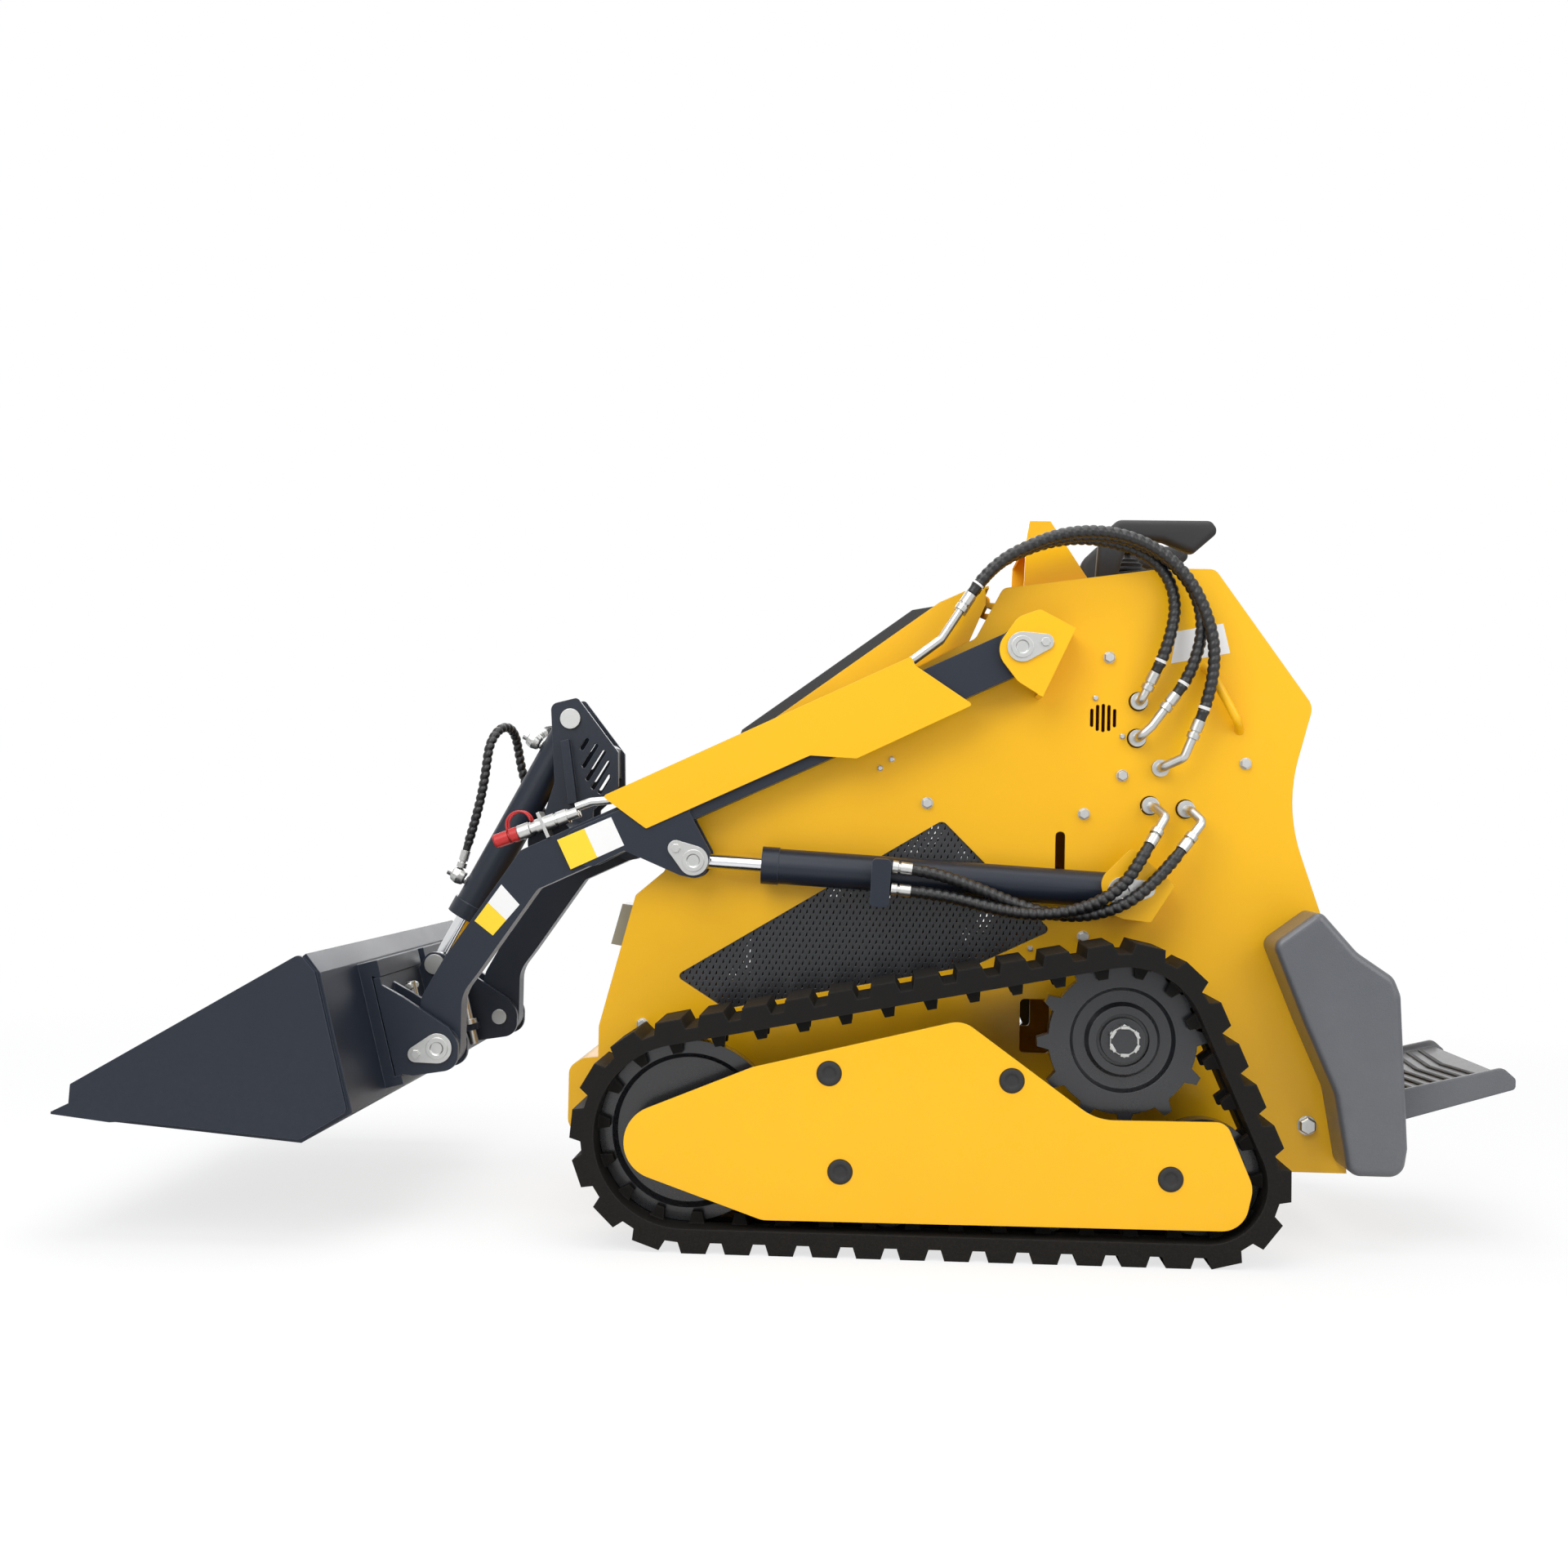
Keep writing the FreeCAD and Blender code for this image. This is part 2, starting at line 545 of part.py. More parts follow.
hornInner = plate("TrackHornsInner", [smooth_loop(4 - halfBand), toothed_loop(hornProfile, phase + 0.5)],
                  trackMiddle + " - windowWidth / 2 - 2", "hornWidth")
both("track", fused("Track", [bandOuter, bandMiddle, bandInner, hornOuter, hornInner]))

# Drive sprocket: turned disc with a dished ring and teeth that reach into the windows
rootRadius = sprocketPitch - halfBand - 3
discHalf = 16
sprocketDisc = [
    (-discHalf, 22), (discHalf + 8, 22), (discHalf + 8, 37), (discHalf - 6, 38), (discHalf - 6, 43),
    (discHalf + 4, 44), (discHalf + 4, 57), (discHalf - 12, 63), (discHalf - 12, 82), (discHalf, 88),
    (discHalf, rootRadius), (-discHalf, rootRadius),
]
disc = turned("SprocketDisc", sprocketDisc, "sprocketX", "sprocketZ")
bind(disc, "Placement.Base.y", trackMiddle)
toothBody = doc.addObject("PartDesign::Body", "SprocketTeeth")
toothPad = toothBody.newObject("PartDesign::Pad", "SprocketTooth")
tooth = [(rootRadius - 12, -15), (rootRadius, -13), (sprocketPitch + 5, -7), (sprocketPitch + 5, 7),
         (rootRadius, 13), (rootRadius - 12, 15)]
turnedTooth = [(r * math.cos(toothAngle) - t * math.sin(toothAngle),
                r * math.sin(toothAngle) + t * math.cos(toothAngle)) for r, t in tooth]
toothPad.Profile = sketch(toothBody, "XZ_Plane", [rounded(turnedTooth)])
toothPad.Length = 2 * discHalf
ring = toothBody.newObject("PartDesign::PolarPattern", "SprocketRing")
ring.Originals = [toothPad]
ring.Axis = (origin_plane(toothBody, "Y_Axis"), [""])
ring.Angle = 360
bind(ring, "Occurrences", "teeth")
toothBody.Tip = ring
bind(toothBody, "Placement.Base.x", "sprocketX")
bind(toothBody, "Placement.Base.z", "sprocketZ")
bind(toothBody, "Placement.Base.y", trackMiddle + " + %g" % discHalf)
pair("sprockets", fused("Sprocket", [disc, toothBody]))

# Final drive between the side plate and the sprocket, with its shaft through the hub
driveStart = v.sideOuter + v.fitGap
trackMid = v.trackOuter - v.trackWidth / 2
drive = turned("FinalDrive", [
    (driveStart, 0), (driveStart, 82), (driveStart + 24, 82), (driveStart + 36, 62), (trackMid - 28, 62),
    (trackMid - 20, 21.7), (trackMid + 38, 21.7), (trackMid + 38, 0),
], "sprocketX", "sprocketZ")
pair("final_drives", drive)

# Idlers at both ends of the loop and three rollers on the ground run
halfWheel = v.wheelWidth / 2
axleBore = v.axleRadius + v.fitGap


def idler(name, x, z, rim):
    """A turned wheel with a dished web; x and z are numbers because the loop's tension sets them."""
    profile = [
        (trackMid - halfWheel, rim), (trackMid + halfWheel, rim), (trackMid + halfWheel, rim - 22),
        (trackMid + 8, rim - 30), (trackMid + 8, axleBore + 26), (trackMid + 24, axleBore + 22),
        (trackMid + 24, axleBore), (trackMid - halfWheel, axleBore),
    ]
    return turned(name, profile, "%.6f" % x, "%.6f" % z)


pair("front_idlers", idler("FrontIdler", frontX, frontZ, v.idlerRadius - v.fitGap))
pair("rear_idlers", idler("RearIdler", v.rearX, rearZ, v.rearRadius - v.fitGap))
rollerPlaces = [30, -142, -406]
rollerZ = v.lugHeight + v.band - v.coreDrop + v.rollerRadius + v.fitGap
rollerProfile = [
    (trackMid - halfWheel, axleBore), (trackMid - halfWheel, v.rollerRadius), (trackMid + halfWheel, v.rollerRadius),
    (trackMid + halfWheel, axleBore),
]
rollers = [turned("Roller%d" % i, rollerProfile, "%g" % x, "%.6f" % rollerZ) for i, x in enumerate(rollerPlaces)]
rollers += [mirrored("RollerRight%d" % i, roller) for i, roller in enumerate(rollers)]
keep("track_rollers", gathered("Rollers", rollers))

# Track frame: inner rail with cross tubes to the chassis and axles out to the cover
railOuter = v.trackOuter - v.trackWidth + v.railInset + v.railSheet
rail = plate("Rail", [rounded([
    (frontX + 45, frontZ - 40, 40), (frontX + 45, frontZ + 45, 40), (60, 250, 40), (-430, 215, 60),
    (v.rearX - 45, rearZ + 45, 30), (v.rearX - 45, rearZ - 55, 30), (-560, 60, 20), (80, 60, 40),
])], "%g" % railOuter, "railSheet")
coverInner = v.trackOuter - v.coverInset - v.coverSheet
axleSpots = [("Front", frontX, frontZ), ("Rear", v.rearX, rearZ)]
axleSpots += [("Roller%d" % i, x, rollerZ) for i, x in enumerate(rollerPlaces)]
frameParts = [rail]
for name, x, z in axleSpots:
    length = coverInner - v.fitGap - railOuter + v.railSheet / 2
    frameParts.append(cross_pin("Axle" + name, "%.6f" % x, "%.6f" % z, "%g" % (railOuter - v.railSheet / 2),
                                "%g" % length, "axleRadius"))
for i, x in enumerate([0, -400]):
    start = v.sideOuter + v.fitGap
    frameParts.append(cross_pin("Beam%d" % i, "%g" % x, "150", "%g" % start,
                                "%g" % (railOuter - v.railSheet / 2 - start), "32"))
both("track_frame", fused("TrackFrame", frameParts))

# Yellow outer cover of the track frame
coverOutline = [
    (410, 174, 61), (87, 308, 20), (-258, 394, 45), (-479, 236, 90), (-690, 238, 25), (-735, 133, 45),
    (-720, 61, 50), (66, 57, 40),
]
plugSpots = [(-40, 301), (-61, 140), (-340, 297), (-601, 143)]
coverLoops = [rounded(coverOutline)] + [circle(x, z, v.plugRadius) for x, z in plugSpots]
both("track_cover", plate("TrackCover", coverLoops, "trackOuter - coverInset", "coverSheet"))

# Rubber plugs in the covers' holes
plugFace = v.trackOuter - v.coverInset
plugs = []
for i, (x, z) in enumerate(plugSpots):
    plugs.append(turned("Plug%d" % i, [
        (plugFace - v.coverSheet - 2, 0), (plugFace - v.coverSheet - 2, v.plugRadius - v.fitGap),
        (plugFace + v.fitGap, v.plugRadius - v.fitGap), (plugFace + v.fitGap, v.plugRadius + 4),
        (plugFace + 3, v.plugRadius + 2), (plugFace + 3, v.plugRadius - 5), (plugFace + 1, v.plugRadius - 7),
        (plugFace + 1, 0),
    ], "%g" % x, "%g" % z))
plugs += [mirrored("PlugRight%d" % i, item) for i, item in enumerate(plugs)]
keep("cover_plugs", gathered("CoverPlugs", plugs))

# Arm pivot brackets: outer lobe plate, web to the side plate, spacer ring and pin
lobe = [(v.pivotX + 48, v.pivotZ - 6, 38), (v.pivotX + 8, v.pivotZ + 52, 30), (v.pivotX - 30, v.pivotZ + 66, 10),
        (v.pivotX - 92, v.pivotZ + 34, 6), (v.pivotX - 37, v.pivotZ - 86, 6), (v.pivotX + 6, v.pivotZ - 60, 30)]


def clevis(label, x, z, outline, web):
    """A bracket on the side plate: an outer face that a pin passes through, on a bent web."""
    face = plate(label + "Face", [rounded(outline), circle(x, z, v.pinRadius + v.fitGap)], "clevisOuter", "clevisSheet")
    wall = plate(label + "Web", [rounded(web)], "clevisOuter", "clevisOuter - sideOuter - fitGap")
    return fused(label + "Bracket", [face, wall])


def flagged_pin(label, x, z, tipX, tipZ, start, outer):
    """A pin from y = start with a flag plate on the face at y = outer, kept by a bolt at the flag's tip."""
    seat = outer + v.fitGap
    pin = turned(label + "Pin", [(start, 0), (start, v.pinRadius), (seat + 1, v.pinRadius), (seat + 1, 0)],
                 "%g" % x, "%g" % z)
    flag = plate(label + "Flag", [teardrop(x, z, v.flagRadius, tipX, tipZ, v.flagTip)], "%.6f" % (seat + v.flagSheet),
                 "flagSheet")
    collar = turned(label + "Collar", [
        (seat + v.flagSheet - 1, 0), (seat + v.flagSheet - 1, 19), (seat + v.flagSheet + v.pinHead, 19),
        (seat + v.flagSheet + v.pinHead, 12), (seat + v.flagSheet + 1, 10), (seat + v.flagSheet + 1, 0),
    ], "%g" % x, "%g" % z)
    bolt = plate(label + "Bolt", [rounded([(tipX + 8 * math.cos(a), tipZ + 8 * math.sin(a))
                                           for a in [math.radians(60 * i) for i in range(6)]])],
                 "%.6f" % (seat + v.flagSheet + 5), "6")
    return [pin, flag, collar, bolt]


web = [(v.pivotX - 92, v.pivotZ + 34), (v.pivotX - 83, v.pivotZ + 38), (v.pivotX - 28, v.pivotZ - 82),
       (v.pivotX - 37, v.pivotZ - 86)]
pair("arm_pivot_brackets", clevis("Pivot", v.pivotX, v.pivotZ, lobe, web))
foot = [(v.baseX + 40, v.baseZ + 20, 30), (v.baseX - 14, v.baseZ + 76, 8), (v.baseX - 90, v.baseZ + 13, 8),
        (v.baseX - 49, v.baseZ - 52, 8), (v.baseX + 20, v.baseZ - 44, 36)]
footWeb = [(v.baseX - 90, v.baseZ + 13), (v.baseX - 78, v.baseZ + 12), (v.baseX - 42, v.baseZ - 47),
           (v.baseX - 49, v.baseZ - 52)]
pair("cylinder_brackets", clevis("Base", v.baseX, v.baseZ, foot, footWeb))

# Pins of the brackets, each with a thrust collar against the side plate
chassisPins = []
for label, x, z, tipX, tipZ in [("Pivot", v.pivotX, v.pivotZ, v.pivotX - 40, v.pivotZ + 9),
                                ("Base", v.baseX, v.baseZ, v.baseX - 41, v.baseZ + 5)]:
    near = v.sideOuter + v.fitGap
    parts = flagged_pin(label, x, z, tipX, tipZ, near, v.clevisOuter)
    parts.append(turned(label + "Thrust", [(near, 0), (near, 26), (near + 7, 26), (near + 7, 0)], "%g" % x, "%g" % z))
    chassisPins.append(fused(label + "PinWhole", parts))
chassisPins += [mirrored("ChassisPinRight%d" % i, item) for i, item in enumerate(chassisPins)]
keep("chassis_pins", gathered("ChassisPins", chassisPins))

# Lift arms: fabricated box from the pivot over the knee to the bucket pin, with a gusset for the lift rod
armAngle = math.atan2(v.pivotZ - v.kneeZ, v.kneeX - v.pivotX) - math.atan2(v.armDepth / 2, 950)
armRun = Vector(math.cos(armAngle), -math.sin(armAngle), 0)
armUp = Vector(math.sin(armAngle), math.cos(armAngle), 0)
pivot = Vector(v.pivotX, v.pivotZ, 0)
tail = -armRun * (v.armDepth / 2)
tailTop = pivot + tail + armUp * (v.armDepth / 2)
tailLow = pivot + tail - armUp * (v.armDepth / 2)
eyeFront = v.bucketX + 36
eyeRear = v.bucketX - 36
armCore = [
    (tailTop.x, tailTop.y, v.armDepth / 2), (v.kneeX, v.kneeZ, 16), (645, 462, 60), (eyeFront, 392, 40),
    (eyeFront, v.bucketZ - 36, 35), (eyeRear, v.bucketZ - 36, 35), (eyeRear, 400, 60), (584, 438, 20),
    (482, 587, 14), (tailLow.x, tailLow.y, v.armDepth / 2),
]


def on_arm(distance, height):
    """A point at a distance down the arm's top edge from the knee's corner, and a height square to it."""
    back = Vector(tailTop.x - v.kneeX, tailTop.y - v.kneeZ, 0).normalize()
    side = Vector(-back.y, back.x, 0) if back.x > 0 else Vector(back.y, -back.x, 0)
    point = Vector(v.kneeX, v.kneeZ, 0) + back * distance + side * height
    return (point.x, point.y)


gussetSide = [
    on_arm(64, -4) + (34,), on_arm(88, -79) + (34,), (330, 658, 0), (v.rodX + 24, v.rodZ - 26, 28),
    (v.rodX - 18, v.rodZ - 34, 28), (v.rodX - 30, v.rodZ + 14, 10), (217, 727, 0), on_arm(330, -10),
]
armBore = v.pinRadius + v.fitGap
bores = [circle(v.pivotX, v.pivotZ, armBore), circle(v.bucketX, v.bucketZ, armBore)]
armParts = [
    plate("ArmTube", [rounded(armCore)] + bores, "armCentre + armWidth / 2 - tubeInset", "armWidth - 2 * tubeInset"),
    plate("GussetOuter", [rounded(gussetSide)], "armCentre + armWidth / 2 - tubeInset + gusset", "gusset"),
    cut("GussetInnerCut", plate("GussetInner", [rounded(gussetSide)], "armCentre - armWidth / 2 + tubeInset", "gusset"),
        [cross_pin("GussetSpace", "crossX", "crossZ", "armCentre - armWidth", "armWidth", "crossRadius + fitGap")]),
]
for name, x, z, radius in [("PivotBoss", v.pivotX, v.pivotZ, 37.9), ("BucketBoss", v.bucketX, v.bucketZ, 35.9)]:
    armParts.append(plate(name, [circle(x, z, radius), circle(x, z, armBore)], "armCentre + armWidth / 2", "armWidth"))
both("lift_arm", fused("Arm", armParts))

# Cross tube between the knees and the tilt cylinder's bracket on it
tubeFace = "armCentre - armWidth / 2 + tubeInset - fitGap"
keep("cross_tube", cross_pin("CrossTube", "crossX", "crossZ", "-(%s)" % tubeFace, "2 * (%s)" % tubeFace, "crossRadius"))
bracketOutline = [
    (v.tiltX + 38, v.tiltZ + 27, 14), (v.tiltX - 12, v.tiltZ + 40, 8), (v.tiltX - 91, v.tiltZ - 61, 6),
    (v.tiltX - 93, v.tiltZ - 127, 6), (v.crossX - 44, v.crossZ + 60, 4), (v.crossX - 44, v.crossZ, 4),
    (v.crossX + 46, v.crossZ, 4), (v.tiltX + 44, v.tiltZ - 174, 8), (v.tiltX + 28, v.tiltZ - 120, 20),
]
# Slanted slots that lighten the plate: middle x, middle z, length
slots = [(443, 852, 26), (432, 830, 52), (421, 812, 66), (411, 794, 62), (403, 777, 42)]
slotWidth = 9
slotLoops = []
for x, z, length in slots:
    lean = Vector(-0.51, 0.86, 0).normalize()
    aside = Vector(lean.y, -lean.x, 0) * (slotWidth / 2)
    tip = lean * (length / 2)
    ends = [tip + aside, tip - aside, -tip - aside, -tip + aside]
    slotLoops.append(rounded([(x + end.x, z + end.y, 4) for end in ends]))
tiltBore = v.pinRadius - 1
bracketPlate = plate("BracketPlate", [rounded(bracketOutline), circle(v.tiltX, v.tiltZ, tiltBore + v.fitGap)] + slotLoops,
                     "bracketHalf", "bracketSheet")
bracketRib = plate("BracketRib", [rounded([(485, 856), (470, 860), (452, 742), (468, 738)])],
                   "bracketHalf + 20", "20")
tubeSpace = cross_pin("TubeSpace", "crossX", "crossZ", "-100", "200", "crossRadius + fitGap / 3")
bracketLeft = cut("BracketPlateCut", fused("BracketSide", [bracketPlate, bracketRib]), [tubeSpace])
bracketTie = plate("BracketTie", [rounded([(394, 852), (386, 846), (384, 790), (394, 790)])], "bracketHalf",
                   "2 * bracketHalf")
keep("tilt_bracket", fused("TiltBracket", [bracketLeft, mirrored("BracketRight", bracketLeft), bracketTie]))

# Pins on the arms: a flag at each rod lug and the tilt cylinder's upper pin
gussetFace = v.armCentre + v.armWidth / 2 - v.tubeInset + v.gusset
rodPin = fused("RodPin", flagged_pin("Rod", v.rodX, v.rodZ, v.rodX + 31, v.rodZ + 21, gussetFace, gussetFace)[1:])
tiltHead = v.bracketHalf + v.fitGap
tiltPin = turned("TiltPin", [
    (-tiltHead - 6, 0), (-tiltHead - 6, 19), (-tiltHead, 19), (-tiltHead, tiltBore), (tiltHead, tiltBore),
    (tiltHead, 19), (tiltHead + 6, 19), (tiltHead + 6, 0),
], "tiltX", "tiltZ")
keep("arm_pins", gathered("ArmPins", [rodPin, mirrored("RodPinRight", rodPin), tiltPin]))

# Yellow covers on the outside of the arms
coverArmOutline = [(370, 752, 4), (-164, 1005, 4), (-172, 989, 6), (-189, 978, 6), (-273, 923, 4), (-73, 826, 4),
                   (8, 830, 4), (292, 697, 4)]
coverTab = plate("CoverTab", [rounded([(-100, 940), (-140, 958), (-140, 925), (-100, 905)])],
                 "armCentre + armWidth / 2 - tubeInset + gusset + fitGap + coverArm", "gusset + coverArm")
coverSheetPlate = plate("ArmCover", [rounded(coverArmOutline)],
                        "armCentre + armWidth / 2 - tubeInset + gusset + fitGap + coverArm", "coverArm")
both("arm_cover", fused("ArmCoverWhole", [coverSheetPlate, coverTab]))

# Bucket: bent shell between thick side plates, a cutting edge and a receiver on its back
back = Vector(57, 220, 0).normalize()
backNormal = Vector(-back.y, back.x, 0)
backFoot = Vector(744, 229, 0)


def on_back(height, behind):
    """A point up the bucket's back and square behind it."""
    point = backFoot + back * height + backNormal * behind
    return (point.x, point.y)


shell = [(v.tipX - 98, 208), (820, 182), (744, 229), on_back(227, 0), (824, 478)]
shellPlate = plate("BucketShell", [rounded(along(shell[::-1], v.wallBucket)[::-1])], "bucketHalf - 9", "2 * (bucketHalf - 9)")
cheekOutline = [
    (826, 483, 12), (v.tipX - 31, 261, 3), (v.tipX - 29, 229), (v.tipX - 98, 206), (820, 180, 10), (742, 228, 10),
    on_back(232, 2),
]
cheek = plate("BucketCheek", [rounded(cheekOutline)], "bucketHalf", "10")
edgeOutline = [(v.tipX - 138, 203), (v.tipX - 98, 200), (v.tipX, 211), (v.tipX, 215), (v.tipX - 28, 229),
               (v.tipX - 138, 222)]
edge = plate("CuttingEdge", [rounded(edgeOutline)], "bucketHalf", "2 * bucketHalf")
eyeRelief = plate("EyeRelief", [rounded([on_back(130, 10), on_back(240, 10), on_back(240, 70), on_back(130, 70)])],
                  "eyeWidth / 2 + runClear", "eyeWidth + 2 * runClear")
receiver = [
    plate("HookBar", [rounded([on_back(200, -2), on_back(225, -2), on_back(225, 44), on_back(196, 44),
                               on_back(196, 34), on_back(200, 30)])], "plateHalf", "2 * plateHalf"),
    plate("LedgeBar", [rounded([on_back(4, -2), on_back(20, -2), on_back(20, 40), on_back(4, 40)])], "plateHalf",
          "2 * plateHalf"),
]
strip = plate("ReceiverStrip", [rounded([on_back(4, -2), on_back(225, -2), on_back(225, 28), on_back(4, 28)])],
              "plateHalf", "10")
receiver += [strip, mirrored("ReceiverStripRight", strip)]
receiver[0] = cut("HookBarCut", receiver[0], [eyeRelief])
keep("bucket", fused("Bucket", [shellPlate, cheek, mirrored("BucketCheekRight", cheek), edge] + receiver))

# Attach plate with two ears at each arm and the lugs for the tilt rod
plateRear = 30 + v.plateSheet
plateOutline = [on_back(20 + v.fitGap, 30), on_back(195, 30), on_back(195, plateRear), on_back(20 + v.fitGap, plateRear)]
attachPlate = plate("AttachSheet", [rounded(plateOutline)], "plateHalf", "2 * plateHalf")
attachPlate = cut("AttachSheetCut", attachPlate, [eyeRelief])
earOutline = [
    on_back(24, 36), on_back(186, 36), (712, 395, 6), (629, 343, 10), (v.bucketX - 36, v.bucketZ + 12, 34),
    (v.bucketX - 36, v.bucketZ - 36, 36), (v.bucketX + 24, v.bucketZ - 46, 10), (690, 258, 6),
]
earLoops = [rounded(earOutline), circle(v.bucketX, v.bucketZ, v.pinRadius + v.fitGap)]
earInner = plate("EarInner", earLoops, "armCentre - armWidth / 2 - runClear", "earSheet")
earOuter = plate("EarOuter", earLoops, "armCentre + armWidth / 2 + runClear + earSheet", "earSheet")
eyeLugOutline = [on_back(110, 36), on_back(184, 36), (v.eyeX + 12, v.eyeZ + 26, 20), (v.eyeX - 26, v.eyeZ + 16, 22),
                 (v.eyeX - 28, v.eyeZ - 24, 22)]
eyeLug = plate("EyeLug", [rounded(eyeLugOutline)], "eyeWidth / 2 + runClear + lugSheet", "lugSheet")
# Lugs that guide the two upright lock pins
lockX, lockY = 60, 200
lockLugs = []
for low in (40, 128):
    lug = plate("LockLug%d" % low, [rounded([on_back(low, plateRear - 1), on_back(low + 12, plateRear - 1),
                                             on_back(low + 12, lockX + 16), on_back(low, lockX + 16)])],
                "%g" % (lockY + 14), "28")
    lockLugs.append(lug)
backAngle = math.degrees(math.atan2(back.y, back.x))
lockFoot = on_back(0, lockX)


def lock_bar(name, start, stop, radius):
    """A round bar along a lock pin's axis."""
    return spun(name, [(start, 0), (start, radius), (stop, radius), (stop, 0)], lockFoot[0], lockY, lockFoot[1], backAngle)


lockBore = lock_bar("LockBore", 30, 150, v.lockRadius + v.fitGap)
lockLug = cut("LockLugs", fused("LockLugPair", lockLugs + [attachPlate]), [lockBore])
earSet = [earInner, earOuter, eyeLug]
attachParts = [lockLug, mirrored("LockLugRight", lockLug)] + earSet
attachParts += [mirrored(item.Name + "Right", item) for item in earSet]
keep("attach_plate", fused("AttachPlate", attachParts))

# Lock pins with a stop collar and a pull handle
lockTop = on_back(164, lockX)
handle = cross_pin("LockHandle", "%.6f" % lockTop[0], "%.6f" % lockTop[1], "%g" % (lockY - 34), "60", "6")
lockPin = fused("LockPin", [lock_bar("LockBar", 12, 172, v.lockRadius),
                            lock_bar("LockCollar", 52 + v.fitGap, 62, v.lockRadius + 6), handle])

# Pins of the attach plate: a flag at each outer ear and the heads of the tilt eye's pin
earFace = v.armCentre + v.armWidth / 2 + v.runClear + v.earSheet
innerFace = v.armCentre - v.armWidth / 2 - v.runClear - v.earSheet
bucketPin = fused("BucketPinWhole", flagged_pin("Bucket", v.bucketX, v.bucketZ, v.bucketX + 37, v.bucketZ - 11,
                                                innerFace - 3, earFace))
eyeFace = "eyeWidth / 2 + runClear + lugSheet + fitGap"
eyeHead = cross_pin("EyePinHead", "eyeX", "eyeZ", eyeFace, "2 * pinHead", "pinRadius + 4")
pinItems = [bucketPin, eyeHead, lockPin]
pinItems += [mirrored(item.Name + "Right", item) for item in pinItems]
keep("bucket_pins", gathered("BucketPins", pinItems))


def cylinder_parts(name, start, stop, radius, rod, gland, spare, width, pinBore, y, eyeRadius, closing):
    """A hydraulic cylinder's barrel and rod between two pins; both bodies are turned about the axis."""
    axis = Vector(stop[0] - start[0], stop[1] - start[1], 0)
    angle = math.degrees(math.atan2(axis.y, axis.x))
    length = axis.Length
    glandEnd = length - spare
    bore = radius - 7
    barrelProfile = [
        (eyeRadius - 4, 0), (eyeRadius - 4, radius), (glandEnd - 30, radius), (glandEnd - 30, gland),
        (glandEnd, gland), (glandEnd, rod + v.fitGap), (glandEnd - 30, rod + v.fitGap), (glandEnd - 30, bore),
        (eyeRadius + 16, bore), (eyeRadius + 16, 0),
    ]
    piston = eyeRadius + 28 - closing
    rodProfile = [
        (piston, 0), (piston, bore - v.fitGap), (piston + 36, bore - v.fitGap), (piston + 36, rod),
        (length - eyeRadius + 6, rod), (length - eyeRadius + 6, 0),
    ]
    made = []
    for part, profile, at in (("Barrel", barrelProfile, 0), ("Rod", rodProfile, length)):
        body = doc.addObject("PartDesign::Body", name + part)
        spin = body.newObject("PartDesign::Revolution", name + part + "Turn")
        spin.Profile = sketch(body, "XY_Plane", [rounded(profile)])
        spin.ReferenceAxis = (origin_plane(body, "X_Axis"), [""])
        spin.Angle = 360
        body.Placement = Placement(Vector(start[0], y, start[1]), Rotation(Vector(0, 1, 0), -angle))
        centre = start if at == 0 else stop
        eye = cross_pin(name + part + "Eye", "%.6f" % centre[0], "%.6f" % centre[1], "%.6f" % (y - width / 2),
                        "%.6f" % width, "%.6f" % eyeRadius)
        whole = fused(name + part + "Whole", [body, eye])
        if at == 0:
            hole = cross_pin(name + part + "Hole", "%.6f" % centre[0], "%.6f" % centre[1],
                             "%.6f" % (y - width), "%.6f" % (2 * width), "%.6f" % (pinBore + v.fitGap))
            whole = cut(name + part + "Bored", whole, [hole])
        made.append(whole)
    return made


liftParts = cylinder_parts("Lift", (v.baseX, v.baseZ), (v.rodX, v.rodZ), v.barrelRadius, v.rodRadius, v.glandRadius,
                           118, v.eyeWidth - 2, v.pinRadius, v.armCentre, v.eyeRadius, -71)
liftLine = Vector(v.rodX - v.baseX, v.rodZ - v.baseZ, 0).normalize()


def beside_barrel(distance, aside):
    """A point at a distance along the lift cylinder from its base pin and square to it."""
    return (v.baseX + liftLine.x * distance - liftLine.y * aside, v.baseZ + liftLine.y * distance + liftLine.x * aside)


blockOutline = [beside_barrel(399, -56) + (8,), beside_barrel(432, -56) + (8,), beside_barrel(432, 27) + (8,),
                beside_barrel(399, 27) + (8,)]
liftAngle = math.degrees(math.atan2(liftLine.y, liftLine.x))
boreRadius = v.barrelRadius - 3
blockBore = spun("BlockBore", [(380, 0), (380, boreRadius), (450, boreRadius), (450, 0)], v.baseX, v.armCentre, v.baseZ,
                 liftAngle)
block = cut("BarrelBlock", plate("BlockSheet", [rounded(blockOutline)], "armCentre + 58", "58"), [blockBore])
both("lift_barrel", fused("LiftBarrelWhole", [liftParts[0], block]))
both("lift_rod", liftParts[1])
tiltParts = cylinder_parts("Tilt", (v.tiltX, v.tiltZ), (v.eyeX, v.eyeZ), v.tiltBarrelRadius, v.tiltRodRadius,
                           v.glandRadius + 2, 100, v.eyeWidth, v.pinRadius - 1, 0, v.eyeRadius - 4, -42)
keep("tilt_barrel", tiltParts[0])
keep("tilt_rod", tiltParts[1])

